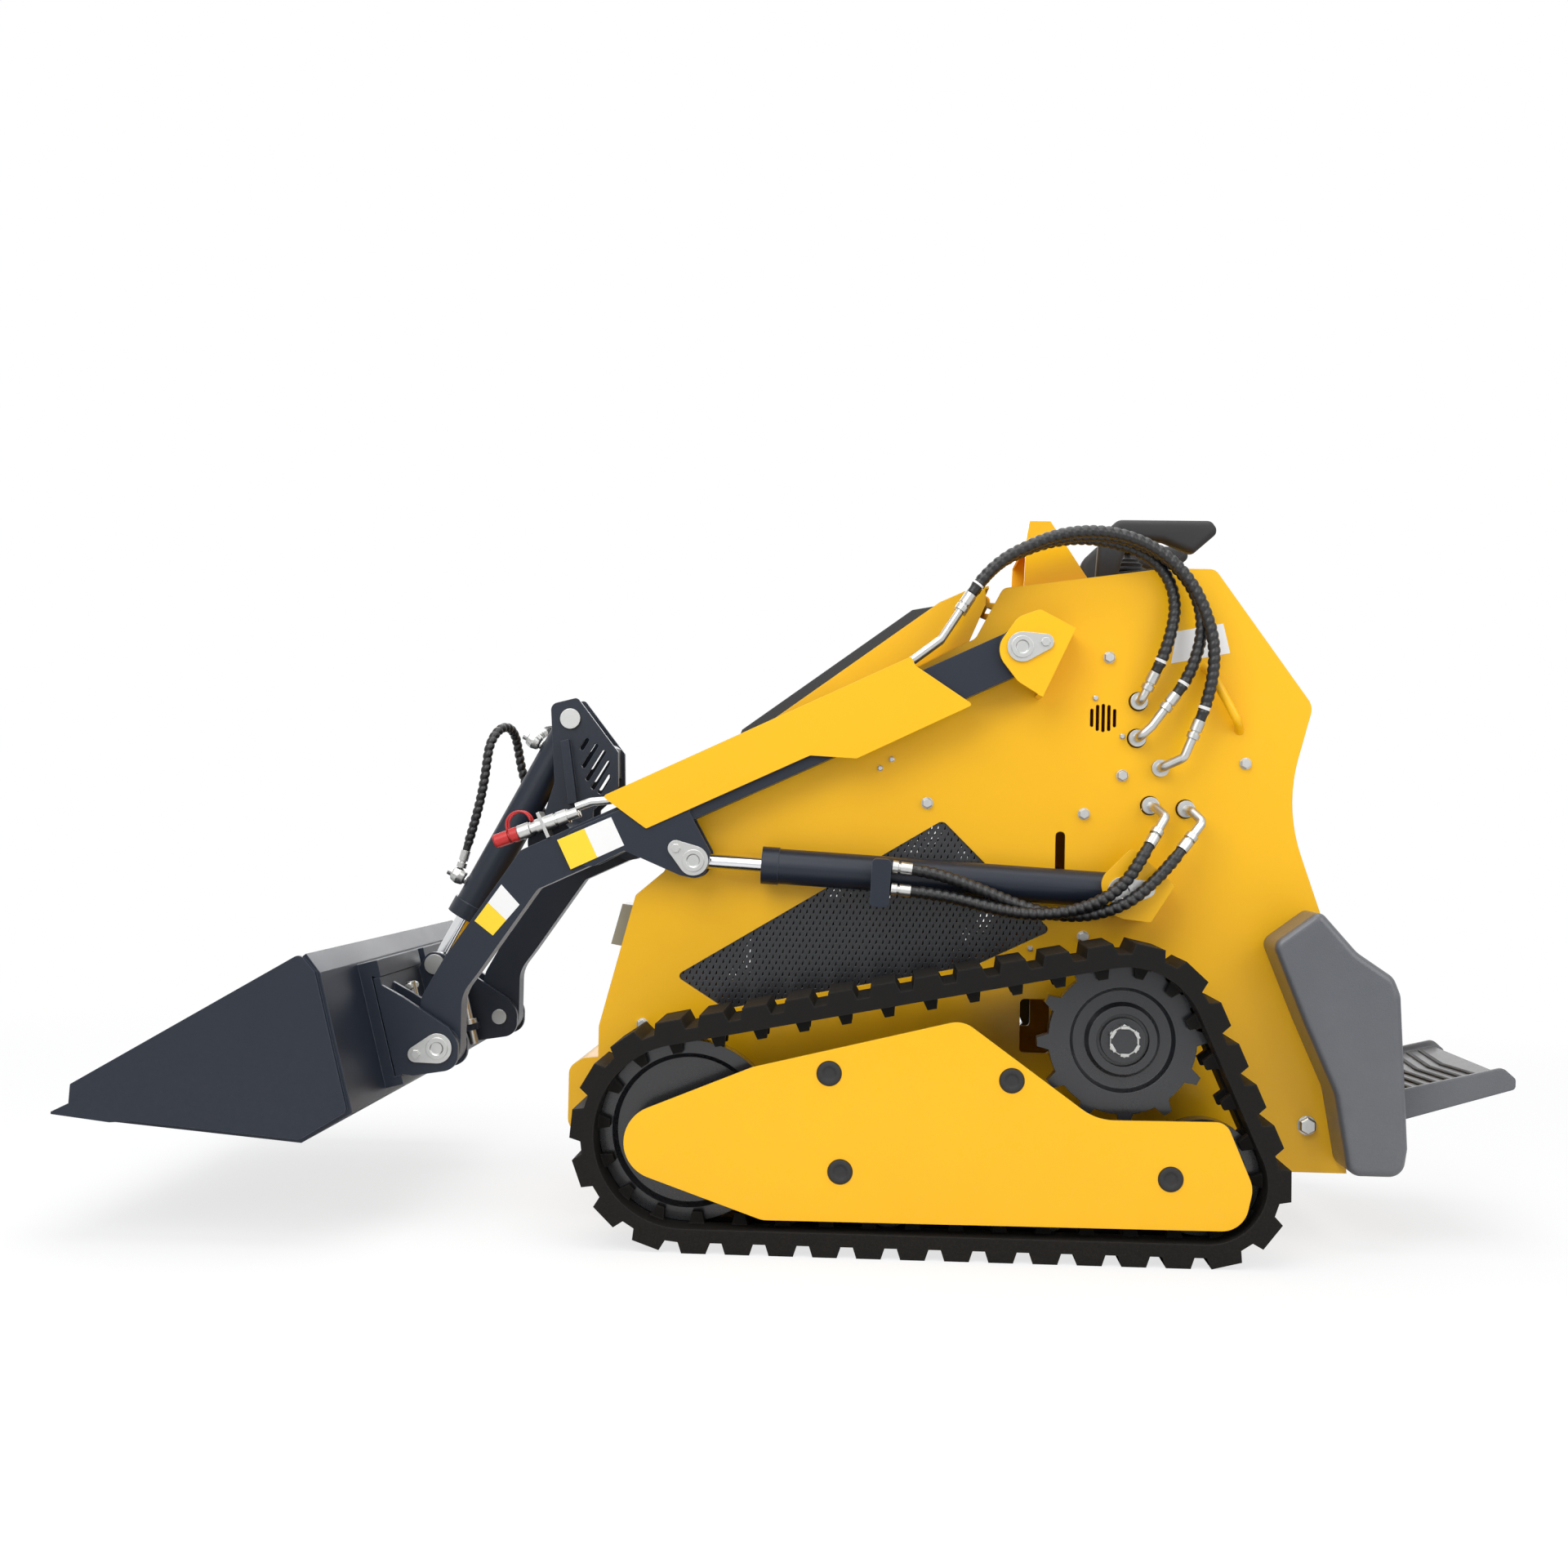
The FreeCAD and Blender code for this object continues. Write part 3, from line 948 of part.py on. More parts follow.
# Counterweights beside the rear of the chassis
weightOutline = [
    (-787, 523, 20), (-866, 582, 16), (-930, 511, 60), (-992, 470, 30), (-1004, 440, 30), (-1019, 180, 10),
    (-1012, 132, 45), (-920, 132, 25), (-895, 270, 60), (-842, 388, 60),
]
weight = plate("Weight", [rounded(weightOutline)], "sideOuter + weightDepth", "weightDepth - fitGap")
doc.recompute()
weightFace = v.sideOuter + v.weightDepth
rim = [i + 1 for i, edge in enumerate(weight.Shape.Edges)
       if abs(edge.BoundBox.YMin - weightFace) < 0.01 and abs(edge.BoundBox.YMax - weightFace) < 0.01]
weightRounded = doc.addObject("Part::Fillet", "WeightRounded")
weightRounded.Base = weight
weightRounded.Edges = [(i, v.weightRound, v.weightRound) for i in rim]
pair("counterweights", weightRounded)

# Ports, pipes and hoses
def fitting(name, place, toward, points):
    """A turned fitting at a place, its axis pointing toward another; points are (distance, radius)."""
    body = doc.addObject("PartDesign::Body", name)
    spin = body.newObject("PartDesign::Revolution", name + "Turn")
    spin.Profile = sketch(body, "XY_Plane", [rounded(points)])
    spin.ReferenceAxis = (origin_plane(body, "X_Axis"), [""])
    spin.Angle = 360
    start = Vector(*place)
    body.Placement = Placement(start, Rotation(Vector(1, 0, 0), Vector(*toward) - start))
    return body


def crimp(name, place, toward, hose):
    """The union nut and crimped end at a place; the hose goes on from it toward another."""
    return fitting(name, place, toward, [
        (0, 0), (0, hose + 1.3), (10, hose + 1.3), (10, hose - 2), (14, hose - 2), (14, hose + 0.8),
        (v.crimpLength, hose + 0.8), (v.crimpLength, 0),
    ])


def hose_line(name, points, radius):
    """A hose and its two crimped ends, which take up the first and last bit of the way."""
    path = [Vector(*point) for point in points]
    ends = []
    trimmed = list(path)
    for first, second, label in ((0, 1, "Start"), (-1, -2, "Stop")):
        along = (path[second] - path[first]).normalize()
        ends.append(crimp(name + label, points[first], points[second], radius))
        trimmed[first] = path[first] + along * (v.crimpLength + v.fitGap)
    return tube(name, [tuple(point) for point in trimmed], radius), ends


# Steel elbows at the side plate's ports
wallOut = v.sideOuter + v.fitGap
elbowRadius = 8
elbows = []
liftPorts = [
    ("Far", [(-651, wallOut, 750), (-656, wallOut + 46, 746), (-672, wallOut + 68, 728), (-654, wallOut + 76, 705)]),
    ("Near", [(-589, wallOut, 755), (-594, wallOut + 44, 751), (-608, wallOut + 70, 736), (-593, wallOut + 84, 712)]),
]
armHoseEnds = [
    ("A", [(-566, wallOut, 938), (-567, wallOut + 28, 938), (-576, wallOut + 31, 957)]),
    ("B", [(-564, wallOut, 873), (-565, wallOut + 38, 874), (-585, wallOut + 42, 893), (-606, wallOut + 43, 922)]),
    ("C", [(-605, wallOut, 821), (-606, wallOut + 34, 822), (-640, wallOut + 52, 839), (-653, wallOut + 54, 872)]),
]


def elbow(label, points):
    """A bent pipe on a port's seat."""
    seat = [(wallOut, 0), (wallOut, 15), (wallOut + 16, 15), (wallOut + 16, 0)]
    return fused("Elbow" + label, [tube("ElbowPipe" + label, points, elbowRadius, 12),
                                   turned("ElbowSeat" + label, seat, "%g" % points[0][0], "%g" % points[0][2])])


def onward(points, step):
    """A point beyond the end of a path, in line with its last run."""
    last = Vector(*points[-1])
    return tuple(last + (last - Vector(*points[-2])).normalize() * step)


def from_elbow(points):
    """The first two points of a hose on an elbow, in line with the elbow's end."""
    return [onward(points, v.fitGap), onward(points, v.crimpLength + 30)]


# Three hoses over the left arm's pivot, from the elbows to the pipes on the arm
pipeWay = Vector(-0.54, 0, 0.84)
pipeTop = Vector(-248, 0, 1088)
pipeY = {"A": 262, "B": 285, "C": 308}
arches = {
    "A": [(-617, 286, 1060), (-624, 281, 1106), (-614, 275, 1150), (-588, 269, 1185), (-549, 264, 1207),
          (-504, 262, 1219), (-456, 262, 1223), (-408, 262, 1217), (-360, 262, 1201)],
    "B": [(-662, 290, 1022), (-670, 289, 1067), (-662, 288, 1114), (-637, 286, 1158), (-597, 285, 1194),
          (-546, 285, 1217), (-490, 285, 1226), (-434, 285, 1223), (-378, 285, 1208)],
    "C": [(-688, 307, 990), (-687, 309, 1042), (-671, 309, 1096), (-645, 308, 1146), (-606, 308, 1187),
          (-560, 308, 1214), (-505, 308, 1229), (-445, 308, 1229), (-386, 308, 1214)],
}
wallParts, armEnds, pivotHoses = [], [], []
for label, points in armHoseEnds:
    stop = pipeTop + Vector(0, pipeY[label], 0) + pipeWay * v.fitGap
    ahead = stop + pipeWay * (v.crimpLength + 62)
    hose, ends = hose_line("PivotHose" + label, from_elbow(points) + arches[label] + [tuple(ahead), tuple(stop)],
                           v.hoseRadius)
    pivotHoses.append(hose)
    wallParts += [elbow(label, points), ends[0]]
    armEnds.append(ends[1])
keep("pivot_hoses", gathered("PivotHoses", pivotHoses))

# Hoses of the lift cylinders, from the block on the barrel to the elbows beside the chassis
blockY = v.armCentre + 46
blockRear = -135.3
liftRoutes = [
    ("D", liftPorts[0][1], [(-583, blockY + 19, 622), (-546, blockY + 25, 590), (-500, blockY + 22, 569),
                            (-450, blockY + 10, 561), (-398, blockY + 1, 566), (-346, blockY, 582),
                            (-294, blockY, 603), (-240, blockY, 622), (-196, blockY, 633)],
     (blockRear - 3.4, blockY, 640)),
    ("E", liftPorts[1][1], [(-537, blockY + 23, 622), (-500, blockY + 27, 592), (-454, blockY + 27, 573),
                            (-404, blockY + 25, 564), (-352, blockY + 16, 565), (-300, blockY + 5, 575),
                            (-248, blockY, 588), (-198, blockY, 596)], (blockRear - 1.4, blockY, 601)),
]
liftWall, blockEnds, liftHoses = [], [], []
for label, points, middle, block in liftRoutes:
    hose, ends = hose_line("LiftHose" + label, from_elbow(points) + middle + [block], v.hoseRadius)
    liftHoses.append(hose)
    liftWall += [elbow(label, points), ends[0]]
    blockEnds.append(ends[1])
both("lift_hoses", gathered("LiftHoses", liftHoses))
both("barrel_fittings", gathered("BarrelFittings", blockEnds))
wallParts += liftWall + [mirrored(item.Name + "Right", item) for item in liftWall]
keep("port_elbows", gathered("PortElbows", wallParts))

# Hoses of the tilt cylinder, both down its right side to the cross tube
tiltHoses, tiltBarrelEnds = [], []
tiltRoutes = [
    ("Front", [(682.6, 0, 614), (668, 2, 666), (653, 8, 716), (642, 12, 764), (636, 14, 806), (631.8, 13.9, 844.6),
               (623.4, -0.1, 869.8), (613, -24.3, 884.4), (603.6, -52.3, 884.4), (597.6, -76.5, 869.8),
               (594, -90.5, 844.6), (589, -93, 814), (580, -95, 779), (566, -96, 739.4), (502.3, -96, 693.1)]),
    ("Rear", [(544.1, -14.4, 866), (531, -78, 884), (527.4, -101.4, 880.2), (523.8, -121.2, 867.1),
              (519, -138, 840.3), (521.5, -139, 803), (521.5, -136, 765), (489.3, -130, 704.8)]),
]
for label, route in tiltRoutes:
    hose, ends = hose_line("TiltHose" + label, route, v.tiltHoseRadius)
    tiltHoses.append(hose)
    tiltBarrelEnds.append(ends[0])
    armEnds.append(ends[1])
keep("tilt_hoses", gathered("TiltHoses", tiltHoses))
ballLow = fitting("BallLow", (664, 0, 586), (687, 0, 598), [
    (8.8, 0), (8.8, 9), (12, 9), (14, 13, 4), (26, 16, 8), (38, 13, 4), (40, 8), (48, 8), (48, 0)])
ballHigh = fitting("BallHigh", (524.3, 0, 846.3), (545.5, 0, 857.6), [
    (8.8, 0), (8.8, 9), (12, 9), (14, 13, 4), (26, 16, 8), (38, 13, 4), (40, 8), (48, 8), (48, 0)])
keep("tilt_fittings", gathered("TiltFittings", tiltBarrelEnds + [ballLow, ballHigh]))

# Pipes on the left arm, their clamps, and the two quick couplers near the knee
couplerY = {"B": 275, "C": 302}


def over_arm(distance, height, y):
    """A point over the arm's top edge, at a distance behind the knee and a height."""
    x, z = on_arm(distance, height)
    return (x, y, z)


pipes = []
for label, start in couplerY.items():
    y = pipeY[label]
    points = [over_arm(118, 30, start), over_arm(146, 28, start), over_arm(176, 17, start), over_arm(300, 17, y),
              over_arm(730, 17, y), (-216, y, 1038), (pipeTop.x, y, pipeTop.z)]
    pipes.append(tube("ArmPipe" + label, points, v.pipeRadius, 24))
y = pipeY["A"] + 6
pipes.append(tube("ArmPipeA", [over_arm(560, v.fitGap, y), over_arm(560, 17, y), over_arm(730, 17, y),
                               (-216, pipeY["A"], 1038), (pipeTop.x, pipeY["A"], pipeTop.z)], v.pipeRadius, 12))
clampOuter = 319
for i, (distance, width) in enumerate([(340, 44), (620, 64)]):
    outline = [on_arm(distance, v.fitGap), on_arm(distance, 27), on_arm(distance + 26, 27),
               on_arm(distance + 26, v.fitGap)]
    pipes.append(plate("PipeClamp%d" % i, [rounded(outline)], "%g" % clampOuter, "%g" % width))

armWay = math.degrees(math.atan2(armUp.x, -armUp.y))
couplerFoot = on_arm(0, 30)
bulkhead = plate("CouplerPlate", [rounded([on_arm(51, v.fitGap), on_arm(51, 48), on_arm(57, 48),
                                           on_arm(57, v.fitGap)])], "318", "55")
couplers, caps, lanyards = [bulkhead], [], []
for label, y in couplerY.items():
    couplers.append(spun("Coupler" + label, [
        (6, 0), (6, 12), (8, 13), (28, 13), (30, 10), (40, 10), (40, 12.5), (75, 12.5), (75, 10), (80, 10),
        (80, 12.5), (98, 12.5), (98, 9), (117.7, 9), (117.7, 0),
    ], couplerFoot[0], y, couplerFoot[1], armWay))
    caps.append(spun("Cap" + label, [
        (-39, 0), (-39, 10), (-36, 12), (-12, 12), (-12, 8), (-8, 8), (-8, 12.5), (5.7, 12.5), (5.7, 0),
    ], couplerFoot[0], y, couplerFoot[1], armWay))
    lanyards.append(tube("Lanyard" + label, [over_arm(s, h, y) for s, h in [
        (-10, 38.3), (-9, 50), (-3, 60), (8, 66), (20, 66), (30, 60), (35, 50), (35, 40.3)]], 1.8))
keep("arm_pipes", gathered("ArmPipes", [fused("ArmPipesFused", pipes), fused("AuxCouplers", couplers)] + armEnds))
keep("coupler_caps", gathered("CouplerCaps", caps + lanyards))

# Control tower, console and grab bar above the deck
deckSlope = (v.deckRearZ - 14 - v.deckFrontZ + 12) / (v.deckRearX + 20 - v.deckFrontX)


def on_deck(x, height=0):
    """A point at x and a height above the deck's top face."""
    return (x, v.deckFrontZ - 12 + (x - v.deckFrontX) * deckSlope + v.fitGap + height)


towerFace = [on_deck(-364), on_deck(-367, 97), on_deck(-373, 133) + (6,), on_deck(-410, 129) + (10,),
             on_deck(-478, 20), on_deck(-474)]
towerSide = plate("TowerSide", [rounded(towerFace)], "200", "5")
towerBend = [on_deck(-478, 20), on_deck(-410, 129), on_deck(-373, 133), on_deck(-367, 97)]
towerTop = plate("TowerTop", [rounded(along(towerBend, 4))], "200", "400")
keep("control_tower", fused("Tower", [towerSide, mirrored("TowerSideRight", towerSide), towerTop]))
consoleOutline = [on_deck(-520), on_deck(-523, 34) + (8,), on_deck(-614, 34) + (10,), on_deck(-622, 20), on_deck(-622)]
keep("control_console", plate("Console", [rounded(consoleOutline)], "140", "280"))
barOutline = [on_deck(-492), on_deck(-498, 94) + (40,), on_deck(-532, 123) + (20,), on_deck(-698, 106) + (14,),
              on_deck(-712, 85) + (16,), on_deck(-665, 48) + (14,), on_deck(-612, 76) + (16,),
              on_deck(-552, 86) + (22,), on_deck(-526)]
pair("grab_bars", plate("GrabBar", [rounded(barOutline)], "192", "38"))


def upright(name, points, x, y):
    """A piece turned about an upright axis on the console; points are (radius, height above its top)."""
    body = doc.addObject("PartDesign::Body", name)
    spin = body.newObject("PartDesign::Revolution", name + "Turn")
    spin.Profile = sketch(body, "XZ_Plane", [rounded(points)])
    spin.ReferenceAxis = (origin_plane(body, "Z_Axis"), [""])
    spin.Angle = 360
    body.Placement = Placement(Vector(x, y, on_deck(x - 30, 34 + v.fitGap)[1]), Rotation())
    return body


# Control levers: a bellows boot, a stalk and a knob each; the middle one is taller
bootSteps = [(0, 0), (30, 0), (30, 5), (25, 8), (28, 13), (20, 17), (22, 21), (7, 25)]
levers = []
for name, x, y, top in [("Left", -560, 96, 44), ("Middle", -571, 0, 82), ("Right", -560, -96, 44)]:
    outline = bootSteps + [(6, top - 14), (11, top - 10, 3), (11, top, 5), (0, top)]
    levers.append(upright("Lever" + name, outline, x, y))
keep("control_levers", gathered("Levers", levers))

# Lamps on the front sheet


def on_front(z, reach):
    """A point at a height z and a reach in front of the front sheet."""
    rise = (z - v.noseTop) / (v.browZ - 4 - v.noseTop)
    return (v.noseX - 8 + rise * (v.browX - v.noseX) + v.fitGap + reach, z)


lampOutline = [on_front(484, 0), on_front(489, 30), on_front(561, 30), on_front(558, 0)]
pair("front_lamps", plate("Lamp", [rounded(lampOutline)], "sideOuter - 20", "90"))

# Fold-up step behind the machine: tread between two cheeks, hinged low on the chassis
stepCheek = [(v.stepPinX - 20, v.stepPinZ + 16, 14), (v.stepEndX + 22, v.stepPinZ + 69, 15), (v.stepEndX, 290, 8), (v.stepEndX, 272, 8),
             (v.stepPinX - 20, v.stepPinZ - 40, 14), (v.stepPinX + 16, v.stepPinZ - 14, 14),
             (v.stepPinX + 16, v.stepPinZ + 14, 14)]
stepSide = plate("StepCheek", [rounded(stepCheek), circle(v.stepPinX, v.stepPinZ, 10.3)], "stepHalf - 4", "stepSheet")
tread = plate("StepTread", [rounded([(v.stepPinX - 20, v.stepPinZ + 4), (v.stepEndX + 20, v.stepPinZ + 56),
                                     (v.stepEndX + 18, v.stepPinZ + 50), (v.stepPinX - 20, v.stepPinZ - 2)])],
              "stepHalf - 4", "2 * (stepHalf - 4)")
keep("step", fused("Step", [stepSide, mirrored("StepCheekRight", stepSide), tread]))

stepPin = cross_pin("StepPin", "stepPinX", "stepPinZ", "-stepHalf", "2 * stepHalf", "10")
stepLug = plate("StepLug", [rounded([
    (v.stepPinX - 14, v.stepPinZ - 14, 13.9), (v.stepPinX - 14, v.stepPinZ + 14, 13.9), (-907, v.stepPinZ + 14),
    (-913, v.stepPinZ - 30), (v.stepPinX, v.stepPinZ - 30, 10),
])], "stepHalf - 26", "12")
keep("step_hinge", fused("StepHinge", [stepPin, stepLug, mirrored("StepLugRight", stepLug)]))

doc.recompute()
os.makedirs("parts", exist_ok=True)
faulty = [item.Name for item in doc.Objects if {"Invalid", "Error"} & set(item.State)]
if faulty:
    raise RuntimeError("not built: " + ", ".join(faulty))
for label, item in nodes.items():
    if item.Shape.isNull() or not item.Shape.isValid():
        raise RuntimeError("bad shape: " + label)
for label, item in nodes.items():
    item.Shape.exportStep("parts/%s.step" % label)
    box = item.Shape.BoundBox
    print("%-22s solids %3d  x %7.1f %7.1f  y %7.1f %7.1f  z %7.1f %7.1f" % (
        label, len(item.Shape.Solids), box.XMin, box.XMax, box.YMin, box.YMax, box.ZMin, box.ZMax))
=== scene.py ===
# Looks of a stand-on mini skid steer loader: yellow chassis on rubber tracks, slate arms and bucket.
import json
import math
import bmesh
import bpy
from mathutils import Matrix, Vector


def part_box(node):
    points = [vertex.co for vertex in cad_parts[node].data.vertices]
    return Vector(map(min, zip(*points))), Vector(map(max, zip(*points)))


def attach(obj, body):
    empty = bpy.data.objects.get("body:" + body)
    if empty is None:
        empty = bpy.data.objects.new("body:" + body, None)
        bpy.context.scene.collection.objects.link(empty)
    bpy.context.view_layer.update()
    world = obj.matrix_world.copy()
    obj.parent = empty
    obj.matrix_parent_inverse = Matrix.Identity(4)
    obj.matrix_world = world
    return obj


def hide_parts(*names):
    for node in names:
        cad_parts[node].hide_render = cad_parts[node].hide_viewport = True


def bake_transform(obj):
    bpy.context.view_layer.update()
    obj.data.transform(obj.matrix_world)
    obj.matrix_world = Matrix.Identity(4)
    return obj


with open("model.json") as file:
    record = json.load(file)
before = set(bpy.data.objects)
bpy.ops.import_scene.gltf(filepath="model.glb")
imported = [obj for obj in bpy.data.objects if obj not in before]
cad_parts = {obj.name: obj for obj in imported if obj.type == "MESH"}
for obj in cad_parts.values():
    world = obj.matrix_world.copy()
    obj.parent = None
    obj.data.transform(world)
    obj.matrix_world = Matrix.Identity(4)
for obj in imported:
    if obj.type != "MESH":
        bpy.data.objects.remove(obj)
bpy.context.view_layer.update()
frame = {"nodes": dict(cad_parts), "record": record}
print("frame loaded with", len(frame["nodes"]), "nodes")

# Pieces are sized in millimetres, and finishes, lamps and camera in metres
mm = 0.001
bothSides = (("Left", 1), ("Right", -1))

# Strengths that every finish shares
surfaceValues = {
    "specksPerPatch": 22.0, "edgeGain": 9.0, "speckGain": 1.3, "edgeSamples": 4, "dustRoughness": 0.5,
    "coatRoughness": 0.12,
}


def addObject(name, data):
    holder = bpy.data.objects.new(name, data)
    bpy.context.scene.collection.objects.link(holder)
    return holder


def fillInputs(tree, node, inputs):
    # Links an input where the value is another node's socket, and sets it otherwise
    for key, value in inputs.items():
        if isinstance(value, bpy.types.NodeSocket):
            tree.links.new(value, node.inputs[key])
        else:
            node.inputs[key].default_value = value
    return node


def addNode(tree, kind, inputs=None, **settings):
    node = tree.nodes.new("ShaderNode" + kind)
    for key, value in settings.items():
        setattr(node, key, value)
    return fillInputs(tree, node, inputs or {})


def newGroup(name, inputs, outputs):
    tree = bpy.data.node_groups.new(name, "ShaderNodeTree")
    for label, kind, value in inputs:
        socket = tree.interface.new_socket(name=label, in_out="INPUT", socket_type="NodeSocket" + kind)
        if value is not None:
            socket.default_value = value
    for label, kind in outputs:
        tree.interface.new_socket(name=label, in_out="OUTPUT", socket_type="NodeSocket" + kind)
    return tree, tree.nodes.new("NodeGroupInput"), tree.nodes.new("NodeGroupOutput")


def useGroup(tree, group, inputs):
    node = tree.nodes.new("ShaderNodeGroup")
    node.node_tree = group
    return fillInputs(tree, node, inputs)


# Grain: a fine texture height and a slow patchiness, both 0 to 1
grainGroup, gin, gout = newGroup(
    "surfaceGrain",
    [("Vector", "Vector", None), ("Grain", "Float", 900.0), ("Patch", "Float", 6.0)],
    [("Height", "Float"), ("Patches", "Float"), ("Specks", "Float")],
)
fine = addNode(grainGroup, "TexNoise", {"Vector": gin.outputs["Vector"], "Scale": gin.outputs["Grain"],
                                        "Detail": 2.0, "Roughness": 0.55})
slow = addNode(grainGroup, "TexNoise", {"Vector": gin.outputs["Vector"], "Scale": gin.outputs["Patch"],
                                        "Detail": 4.0, "Roughness": 0.6})
speckScale = addNode(grainGroup, "Math", {0: gin.outputs["Patch"], 1: surfaceValues["specksPerPatch"]},
                     operation="MULTIPLY")
specks = addNode(grainGroup, "TexNoise", {"Vector": gin.outputs["Vector"], "Scale": speckScale.outputs[0],
                                          "Detail": 6.0, "Roughness": 0.7})
grainGroup.links.new(fine.outputs["Fac"], gout.inputs["Height"])
grainGroup.links.new(slow.outputs["Fac"], gout.inputs["Patches"])
grainGroup.links.new(specks.outputs["Fac"], gout.inputs["Specks"])

# Edge: where the surface turns sharply, from the angle between the true and a rounded normal
edgeGroup, ein, eout = newGroup(
    "edgeWear",
    [("Normal", "Vector", None), ("Amount", "Float", 1.0), ("Specks", "Float", 0.5)],
    [("Edge", "Float")],
)
geometry = addNode(edgeGroup, "NewGeometry")
turn = addNode(edgeGroup, "VectorMath", {0: geometry.outputs["Normal"], 1: ein.outputs["Normal"]},
               operation="DOT_PRODUCT")
turned = addNode(edgeGroup, "Math", {0: 1.0, 1: turn.outputs["Value"]}, operation="SUBTRACT")
scaled = addNode(edgeGroup, "Math", {0: turned.outputs[0], 1: surfaceValues["edgeGain"]},
                 operation="MULTIPLY")
broken = addNode(edgeGroup, "Math", {0: ein.outputs["Specks"], 1: surfaceValues["speckGain"]},
                 operation="MULTIPLY")
masked = addNode(edgeGroup, "Math", {0: scaled.outputs[0], 1: broken.outputs[0]}, operation="MULTIPLY")
amount = addNode(edgeGroup, "Math", {0: masked.outputs[0], 1: ein.outputs["Amount"]}, operation="MULTIPLY",
                 use_clamp=True)
edgeGroup.links.new(amount.outputs[0], eout.inputs["Edge"])

# Dust: gathers on faces that look up and in patches near the ground
dustGroup, din, dout = newGroup(
    "groundDust",
    [("Vector", "Vector", None), ("Amount", "Float", 0.2), ("Height", "Float", 0.45),
     ("Specks", "Float", 0.5)],
    [("Dust", "Float")],
)
dustNormal = addNode(dustGroup, "NewGeometry")
facing = addNode(dustGroup, "SeparateXYZ", {0: dustNormal.outputs["Normal"]})
upward = addNode(dustGroup, "MapRange", {"Value": facing.outputs["Z"], "From Min": 0.2, "From Max": 1.0})
place = addNode(dustGroup, "SeparateXYZ", {0: din.outputs["Vector"]})
lowness = addNode(dustGroup, "MapRange", {"Value": place.outputs["Z"], "From Min": din.outputs["Height"],
                                          "From Max": 0.0})
either = addNode(dustGroup, "Math", {0: upward.outputs[0], 1: lowness.outputs[0]}, operation="ADD")
clumped = addNode(dustGroup, "MapRange", {"Value": din.outputs["Specks"], "From Min": 0.38,
                                          "From Max": 0.72})
dusted = addNode(dustGroup, "Math", {0: either.outputs[0], 1: clumped.outputs[0]}, operation="MULTIPLY")
dustOut = addNode(dustGroup, "Math", {0: dusted.outputs[0], 1: din.outputs["Amount"]}, operation="MULTIPLY",
                  use_clamp=True)
dustGroup.links.new(dustOut.outputs[0], dout.inputs["Dust"])


def makeMaterial(name, values):
    # One finish: values name its colours, roughness, grain, rounding of edges, wear and dust
    material = bpy.data.materials.new(name)
    material.use_nodes = True
    tree = material.node_tree
    tree.nodes.clear()
    output = tree.nodes.new("ShaderNodeOutputMaterial")
    shader = tree.nodes.new("ShaderNodeBsdfPrincipled")
    tree.links.new(shader.outputs[0], output.inputs[0])
    place = addNode(tree, "TexCoord").outputs["Object"]
    grain = useGroup(tree, grainGroup, {"Vector": place, "Grain": values["grain"],
                                        "Patch": values["patch"]})
    soft = addNode(tree, "Bevel", {"Radius": values["edge"]}, samples=surfaceValues["edgeSamples"])
    edge = useGroup(tree, edgeGroup, {"Normal": soft.outputs[0], "Amount": values["wear"],
                                      "Specks": grain.outputs["Specks"]})
    dust = useGroup(tree, dustGroup, {"Vector": place, "Amount": values["dust"],
                                      "Specks": grain.outputs["Specks"]})
    patchy = addNode(tree, "Mix", {"Factor": grain.outputs["Patches"], 6: (*values["colour"], 1),
                                   7: (*values["shade"], 1)}, data_type="RGBA")
    worn = addNode(tree, "Mix", {"Factor": edge.outputs[0], 6: patchy.outputs[2], 7: (*values["bare"], 1)},
                   data_type="RGBA")
    dusty = addNode(tree, "Mix", {"Factor": dust.outputs[0], 6: worn.outputs[2], 7: (*values["dirt"], 1)},
                    data_type="RGBA")
    rough = addNode(tree, "MapRange", {"Value": grain.outputs["Patches"], "To Min": values["rough"][0],
                                       "To Max": values["rough"][1]})
    roughened = addNode(tree, "Math", {0: dust.outputs[0], 1: surfaceValues["dustRoughness"],
                                       2: rough.outputs[0]}, operation="MULTIPLY_ADD", use_clamp=True)
    bump = addNode(tree, "Bump", {"Height": grain.outputs["Height"], "Strength": values["bump"],
                                  "Distance": values["depth"], "Normal": soft.outputs[0]})
    tree.links.new(dusty.outputs[2], shader.inputs["Base Color"])
    tree.links.new(roughened.outputs[0], shader.inputs["Roughness"])
    tree.links.new(bump.outputs[0], shader.inputs["Normal"])
    shader.inputs["Metallic"].default_value = values.get("metal", 0.0)
    shader.inputs["Coat Weight"].default_value = values.get("coat", 0.0)
    shader.inputs["Coat Roughness"].default_value = surfaceValues["coatRoughness"]
    shader.inputs["Specular IOR Level"].default_value = values.get("gloss", 0.5)
    return material


